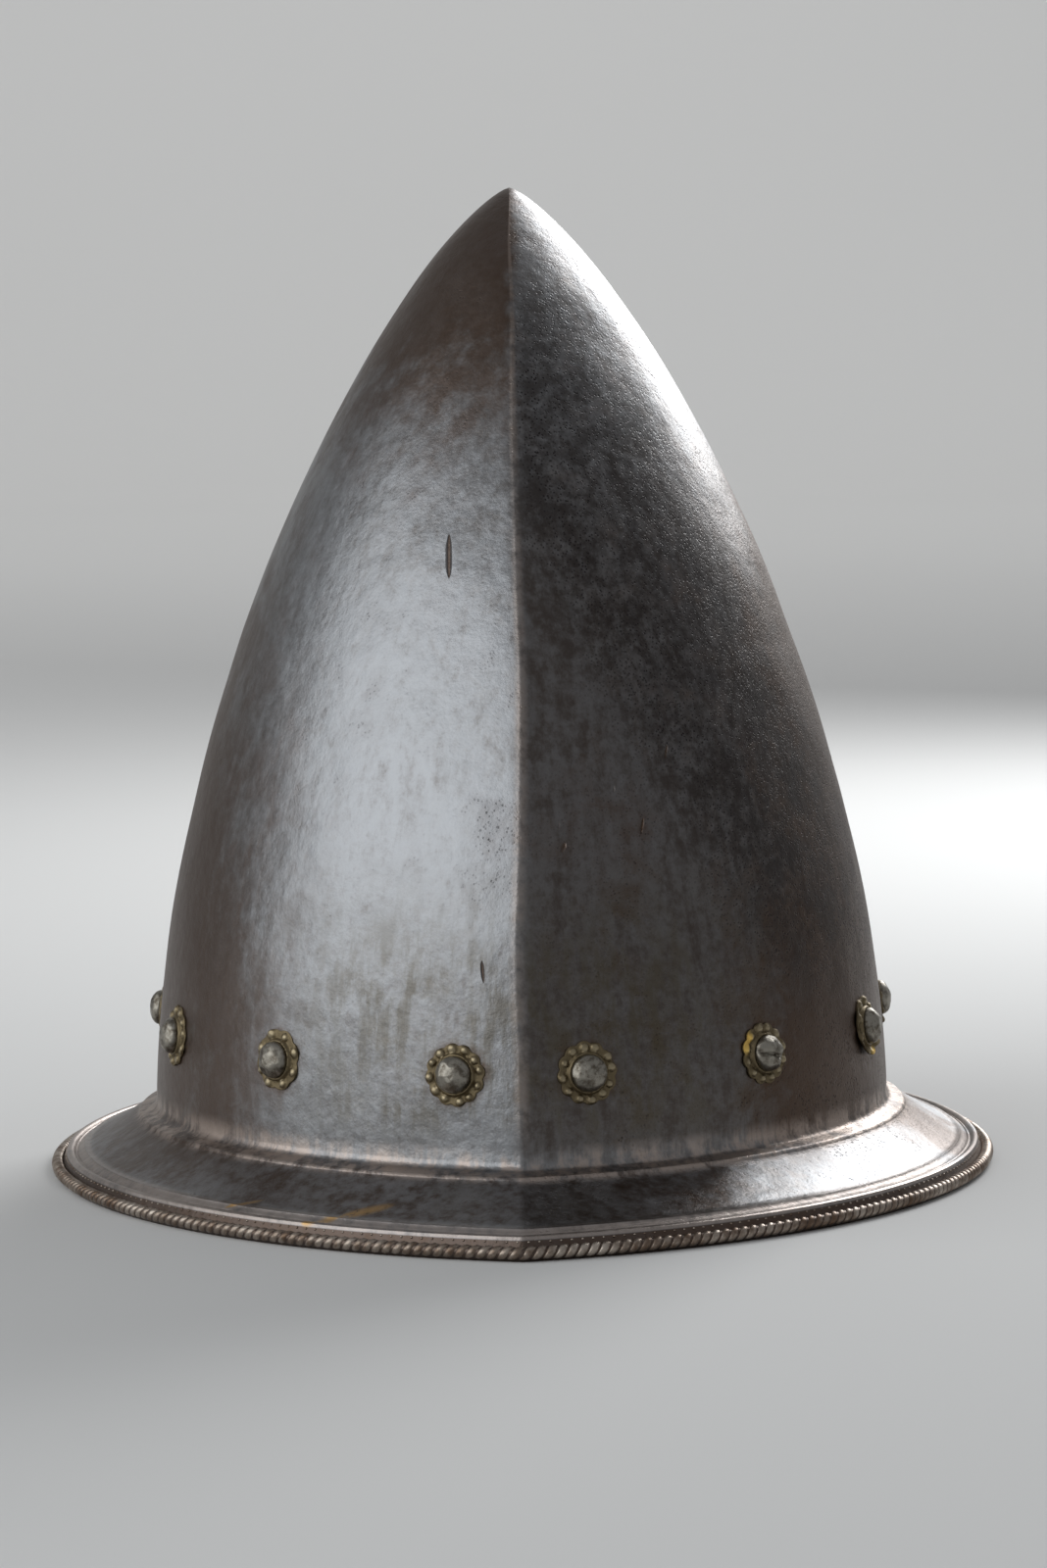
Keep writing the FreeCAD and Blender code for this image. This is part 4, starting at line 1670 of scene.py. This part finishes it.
@dataclass
class QuiltedLining:
    """Hood of linen gores, stuffed between its seams and sewn to the band."""

    form: HelmetForm
    copies: Copies
    gores: int = 8
    gore_columns: int = 10
    rows: int = 22
    bottom: float = 43.5 * MM
    crown: float = 166.0 * MM
    inset: float = 3.8 * MM
    seam: float = 1.9 * MM
    pad: float = 6.0 * MM
    squareness: float = 4.0
    swell: float = 1.6 * MM
    pressure: float = 4.0
    stiffness: float = 25.0
    frames: int = 16
    weave_pitch: float = 0.9 * MM
    weave_radius: float = 85.0 * MM
    stitch_pitch: float = 3.4 * MM
    stitch_radius: float = 0.42 * MM
    stitch_reach: float = 1.25 * MM
    stitch_lift: float = 0.25 * MM

    def ring(self, height: float, crown: float, seam_inset: float, pad_inset: float) -> np.ndarray:
        """One row of the lining, as the CAD solid has it but round between the seams.

        Args:
            height: height of the row.
            crown: height of the peak that it draws in to.
            seam_inset: distance in from the skull at a seam.
            pad_inset: the same in the middle of a gore.

        Returns:
            The points.
        """
        rise = (height - self.bottom) / (crown - self.bottom)
        draw = math.sqrt(max(1 - rise**self.squareness, 0.0))
        count = self.gores * self.gore_columns
        turns = np.linspace(-1.0, 3.0, count + 1)[:-1]
        swell = self.swollen(count) ** 0.5
        points = np.zeros((count, 3))
        for value in np.unique(swell.round(6)):
            rows = np.isclose(swell, value, atol=1e-5)
            inset = seam_inset + (pad_inset - seam_inset) * value
            points[rows] = self.form.skull(height, inset, draw).points(turns[rows])
        return points

    def swollen(self, count: int) -> np.ndarray:
        """Share from 0 on each seam to 1 in the middle of each gore, round one row."""
        return np.abs(np.sin(np.pi * (np.arange(count) % self.gore_columns) / self.gore_columns))

    def surface(self, crown: float, seam_inset: float, pad_inset: float) -> list[np.ndarray]:
        """Rows from the foot to just under the crown."""
        turns = np.radians(np.linspace(0.0, 90.0, self.rows + 1))[:-1]
        heights = self.bottom + (crown - self.bottom) * np.sin(turns)
        return [self.ring(height, crown, seam_inset, pad_inset) for height in heights]

    def puff(self, piece: bpy.types.Object, pinned: np.ndarray) -> None:
        """Lets the stuffing swell the gores by cloth simulation, with the seams held.

        Args:
            piece: the lining.
            pinned: how firmly each vertex is held, from 0 to 1.
        """
        rest = np.array([v.co for v in piece.data.vertices], float)
        group = piece.vertex_groups.new(name="seams")
        for index, weight in enumerate(pinned):
            if weight > 0:
                group.add([index], float(weight), "REPLACE")
        cloth = piece.modifiers.new("stuffing", "CLOTH")
        settings = cloth.settings
        settings.use_pressure = True
        settings.uniform_pressure_force = self.pressure
        settings.effector_weights.gravity = 0.0
        settings.vertex_group_mass = "seams"
        settings.quality = 5
        settings.tension_stiffness = self.stiffness
        settings.compression_stiffness = self.stiffness
        cloth.point_cache.frame_start = 1
        cloth.point_cache.frame_end = self.frames
        scene = bpy.context.scene
        for step in range(1, self.frames + 1):
            scene.frame_set(step)
        graph = bpy.context.evaluated_depsgraph_get()
        swollen = piece.evaluated_get(graph).to_mesh()
        moved = np.array([v.co for v in swollen.vertices], float) - rest
        piece.evaluated_get(graph).to_mesh_clear()
        piece.modifiers.remove(cloth)
        scene.frame_set(1)
        reach = np.linalg.norm(moved, axis=1)
        share = np.minimum(1.0, self.swell / np.maximum(reach, 1e-9))
        final = rest + moved * share[:, None]
        piece.data.vertices.foreach_set("co", final.astype(np.float32).ravel())
        piece.data.update()

    def stitches(self, rows: list[np.ndarray], finish: bpy.types.Material) -> bpy.types.Object:
        """Stitches along each seam inside.

        Args:
            rows: rows of the inner face, from the foot up.
            finish: material of the thread.

        Returns:
            The object.
        """
        points, facing, along = [], [], []
        for gore in range(self.gores):
            line = np.array([row[gore * self.gore_columns] for row in rows])
            steps = np.linalg.norm(np.diff(line, axis=0), axis=1)
            length = np.concatenate([[0.0], np.cumsum(steps)])
            marks = np.arange(3 * MM, length[-1] - 4 * MM, self.stitch_pitch)
            for mark in marks:
                spot = np.array([np.interp(mark, length, line[:, a]) for a in range(3)])
                ahead = np.array([np.interp(mark + 0.5 * MM, length, line[:, a]) for a in range(3)]) - spot
                inward = np.array([0.0, 8 * MM, 60 * MM]) - spot
                points.append(spot)
                facing.append(inward / np.linalg.norm(inward))
                along.append(ahead / np.linalg.norm(ahead))
        sketch = MeshSketch()
        ring = np.linspace(0.0, 2 * math.pi, 7)[:-1]
        stitch_rows = []
        for share in np.linspace(-1.0, 1.0, 5):
            r = self.stitch_radius * math.sqrt(max(1.0 - (share * 0.93) ** 2, 0.05))
            lift = self.stitch_lift * (1 - share**2)
            x = np.full(6, share * self.stitch_reach)
            stitch_rows.append(np.stack([x, r * np.cos(ring), r * np.sin(ring) + lift], 1))
        starts = sketch.rings(stitch_rows)
        sketch.fan(starts[0], 6, sketch.add([(-1.35 * MM, 0, 0)]), up=False)
        sketch.fan(starts[-1], 6, sketch.add([(1.35 * MM, 0, 0)]))
        return self.copies.spread(
            "seam_stitches", np.array(points), np.array(facing), np.array(along), sketch, finish, 0.08, 9
        )

    def build(self, finish: bpy.types.Material, thread: bpy.types.Material) -> list[bpy.types.Object]:
        """Builds the hood and its stitches.

        Args:
            finish: material of the linen.
            thread: material of the stitches.

        Returns:
            The hood and its stitches.
        """
        outer = self.surface(self.crown, self.inset, self.inset)
        inner_crown = self.crown - self.seam
        inner = self.surface(inner_crown, self.inset + self.seam, self.inset + self.pad)
        count = self.gores * self.gore_columns
        sketch = MeshSketch()
        foot = (outer[0] + inner[0]) / 2 - [0, 0, 0.9 * MM]
        starts = sketch.rings([foot] + outer)
        peak = sketch.add([(0.0, self.form.skull(self.crown).centre, self.crown)])
        sketch.fan(starts[-1], count, peak)
        inner_starts = sketch.rings(inner[::-1])
        inner_peak = sketch.add([(0.0, self.form.skull(inner_crown).centre, inner_crown)])
        sketch.fan(inner_starts[0], count, inner_peak, up=False)
        sketch.bridge(inner_starts[-1], starts[0], count)
        piece = sketch.build("quilted_lining", finish)
        uv = piece.data.uv_layers.new(name="weave")
        threads = 1.0 / self.weave_pitch
        for polygon in piece.data.polygons:
            for loop in polygon.loop_indices:
                co = piece.data.vertices[piece.data.loops[loop].vertex_index].co
                angle = math.atan2(polygon.center.x, -polygon.center.y)
                here = math.atan2(co.x, -co.y) if co.xy.length > 1e-4 else angle
                if abs(here - angle) > math.pi:
                    here += math.copysign(2 * math.pi, angle)
                uv.data[loop].uv = (here * self.weave_radius * threads / 6.28, co.z * threads / 6.28)
        seam_columns = np.arange(count) % self.gore_columns == 0
        per_row = np.where(seam_columns, 1.0, 0.0)
        total = len(piece.data.vertices)
        pinned = np.zeros(total)
        for row in range(total // count):
            pinned[row * count:(row + 1) * count] = per_row
        pinned[: 2 * count] = 1.0
        pinned[starts[-1]:starts[-1] + count] = 1.0
        pinned[peak] = 1.0
        pinned[inner_peak] = 1.0
        pinned[inner_starts[0]:inner_starts[0] + count] = 1.0
        pinned[inner_starts[-1]:inner_starts[-1] + count] = 1.0
        self.puff(piece, pinned)
        seam_rows = [
            np.array([v.co for v in piece.data.vertices[start:start + count]]) for start in inner_starts[::-1]
        ]
        smoothing = piece.modifiers.new("round", "SUBSURF")
        smoothing.levels = smoothing.render_levels = 1
        # valley: 1 on the seams and 0 mid-gore; the linen is darker there with dirt and painted shade
        valley = np.tile(1.0 - self.swollen(count), total // count + 1)
        start = inner_starts[0]
        shade = np.zeros(total)
        shade[start:start + len(inner) * count] = valley[:len(inner) * count]
        layer = piece.data.attributes.new("valley", "FLOAT", "POINT")
        layer.data.foreach_set("value", shade.astype(np.float32))
        seat_on(piece, Slot.LINEN, "lining_cap")
        sewn = self.stitches(seam_rows, thread)
        return [piece, seat_on(sewn, Slot.LINEN)]


# Studio


@dataclass(frozen=True)
class Lamp:
    """Soft light on the far end of a line from the helmet.

    Attributes:
        name: its name.
        azimuth: where it stands, in degrees, 0 in front and 90 on the right.
        elevation: how high, in degrees.
        distance: how far, in metres.
        width: its width in metres.
        height: its height in metres.
        radiance: how bright its face is.
        tint: its colour.
        aim: what it faces.
    """

    name: str
    azimuth: float
    elevation: float
    distance: float
    width: float
    height: float
    radiance: float
    tint: tuple[float, float, float] = (1.0, 1.0, 1.0)
    aim: tuple[float, float, float] = (0.0, 0.0, 0.1)


@dataclass
class Studio:
    """Pale floor, soft lamps and the camera."""

    floor_colour: tuple[float, float, float] = (0.70, 0.70, 0.69)
    world_colour: tuple[float, float, float] = (0.62, 0.63, 0.65)
    world_strength: float = 0.50
    target: tuple[float, float, float] = (1.56 * MM, 0.0, 97.28 * MM)
    pitch: float = 0.09897
    roll: float = -0.01395
    distance: float = 1.5
    focal_pixels: float = 5927.0
    frame_height: float = 1600.0
    bend: float = 1.2
    bend_start: float = 3.4
    reach: float = 6.0
    lamps: tuple[Lamp, ...] = (
        Lamp("key_left", -62.0, 25.0, 1.4, 2.0, 1.15, 1.5, (0.96, 0.985, 1.0)),
        Lamp("rim_right", 152.0, 33.0, 1.2, 0.46, 0.62, 10.0, (0.98, 0.99, 1.0)),
        Lamp("backdrop_wash", 180.0, 50.0, 3.6, 4.0, 1.2, 3.0, (1.0, 1.0, 1.0), (0.0, 4.6, 1.0)),
    )

    def floor(self) -> None:
        """Pale sweep: a floor that curves up into a backdrop."""
        sketch = MeshSketch()
        bend, start, reach = self.bend, self.bend_start, self.reach
        profile = [(-reach, 0.0), (start, 0.0)]
        for turn in np.radians(np.linspace(0.0, 90.0, 13)):
            profile.append((start + bend * math.sin(turn), bend * (1 - math.cos(turn))))
        profile.append((start + bend, reach))
        starts = [sketch.add([(x, y, z) for x in (-reach, reach)]) for y, z in profile]
        for low, high in zip(starts, starts[1:]):
            sketch.bridge(low, high, 2, closed=False)
        shop = Shop("studio_floor")
        tone = shop.noise(0.8, 1.0)
        colour = shop.blend(tone, self.floor_colour, tuple(c * 0.97 for c in self.floor_colour))
        sketch.build("studio_floor", shop.finish(colour, 0.9))

    def light(self) -> None:
        """Lamps and world."""
        for lamp in self.lamps:
            data = bpy.data.lights.new(lamp.name, "AREA")
            data.shape = "RECTANGLE"
            data.size, data.size_y = lamp.width, lamp.height
            data.energy = lamp.radiance * lamp.width * lamp.height * math.pi
            data.color = lamp.tint
            light = bpy.data.objects.new(lamp.name, data)
            azimuth, elevation = math.radians(lamp.azimuth), math.radians(lamp.elevation)
            back = Vector((
                math.sin(azimuth) * math.cos(elevation),
                -math.cos(azimuth) * math.cos(elevation),
                math.sin(elevation),
            ))
            light.location = back * lamp.distance
            light.rotation_mode = "QUATERNION"
            light.rotation_quaternion = (light.location - Vector(lamp.aim)).to_track_quat("Z", "Y")
            bpy.context.scene.collection.objects.link(light)
        world = bpy.data.worlds.new("studio")
        world.use_nodes = True
        background = world.node_tree.nodes["Background"]
        background.inputs["Color"].default_value = (*self.world_colour, 1.0)
        background.inputs["Strength"].default_value = self.world_strength
        bpy.context.scene.world = world

    def camera(self) -> None:
        """Camera at the photograph's viewing angle."""
        data = bpy.data.cameras.new("camera")
        data.sensor_width = 36.0
        data.lens = self.focal_pixels * data.sensor_width / self.frame_height
        data.clip_start, data.clip_end = 0.05, 50.0
        camera = bpy.data.objects.new("camera", data)
        forward = Vector((0.0, math.cos(self.pitch), -math.sin(self.pitch)))
        level_up = Vector((0.0, math.sin(self.pitch), math.cos(self.pitch)))
        level_right = Vector((1.0, 0.0, 0.0))
        right = level_right * math.cos(self.roll) + level_up * math.sin(self.roll)
        up = level_up * math.cos(self.roll) - level_right * math.sin(self.roll)
        camera.rotation_mode = "QUATERNION"
        camera.rotation_quaternion = Matrix((right, up, -forward)).transposed().to_quaternion()
        camera.location = Vector(self.target) - forward * self.distance
        bpy.context.scene.collection.objects.link(camera)
        bpy.context.scene.camera = camera

    def build(self) -> None:
        """Sets up the studio."""
        self.floor()
        self.light()
        self.camera()
        bpy.context.scene.view_settings.view_transform = "Standard"


WEAR = {
    1: Wear(turned=0.1, bent=0.3),
    2: Wear(turned=0.2, bent=0.6, lifted=0.2, cracked=True, scraped=(2.55, 2.8)),
    3: Wear(bosses=9, turned=0.0, bent=0.5, lifted=1.6, scraped=(4.9,)),
    4: Wear(turned=0.3, bent=0.4, lifted=0.8),
    8: Wear(turned=0.15, bent=0.25),
    9: Wear(bosses=8, turned=0.35, bent=0.35),
    10: Wear(bosses=11, turned=0.1, bent=0.3),
    11: Wear(turned=0.0, bent=0.25),
}


def main() -> None:
    """Builds the helmet, piece by piece."""
    logging.basicConfig(level=logging.INFO, format="%(name)s: %(message)s")
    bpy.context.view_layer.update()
    form = HelmetForm()
    copies = Copies()
    seats = RivetRing(form).seats()
    finishes = Finishes(
        steel=PatinatedSteel(tuple(tuple(seat.frame.translation) for seat in seats)).material(),
        edge=RubbedSteel().material(),
        rivet=RivetSteel().material(),
        brass=OldBrass().material(),
        leather=BandLeather().material(),
        linen=QuiltLinen().material(),
        thread=WaxedThread().material(),
    )
    Studio().build()
    Skull(form).build(finishes.steel)
    RopedEdge(form, copies).build(finishes.edge)
    for seat in seats:
        wear = WEAR.get(seat.number, Wear(turned=0.37 * seat.number))
        Rosette().build(seat, wear, finishes.brass)
        LiningRivet().build(seat, wear, finishes.rivet)
        Rove().build(seat, finishes.rivet)
    LeatherBand(form).build(finishes.leather)
    QuiltedLining(form, copies).build(finishes.linen, finishes.thread)
    LOG.info("finished")


if __name__ == "__main__":
    main()
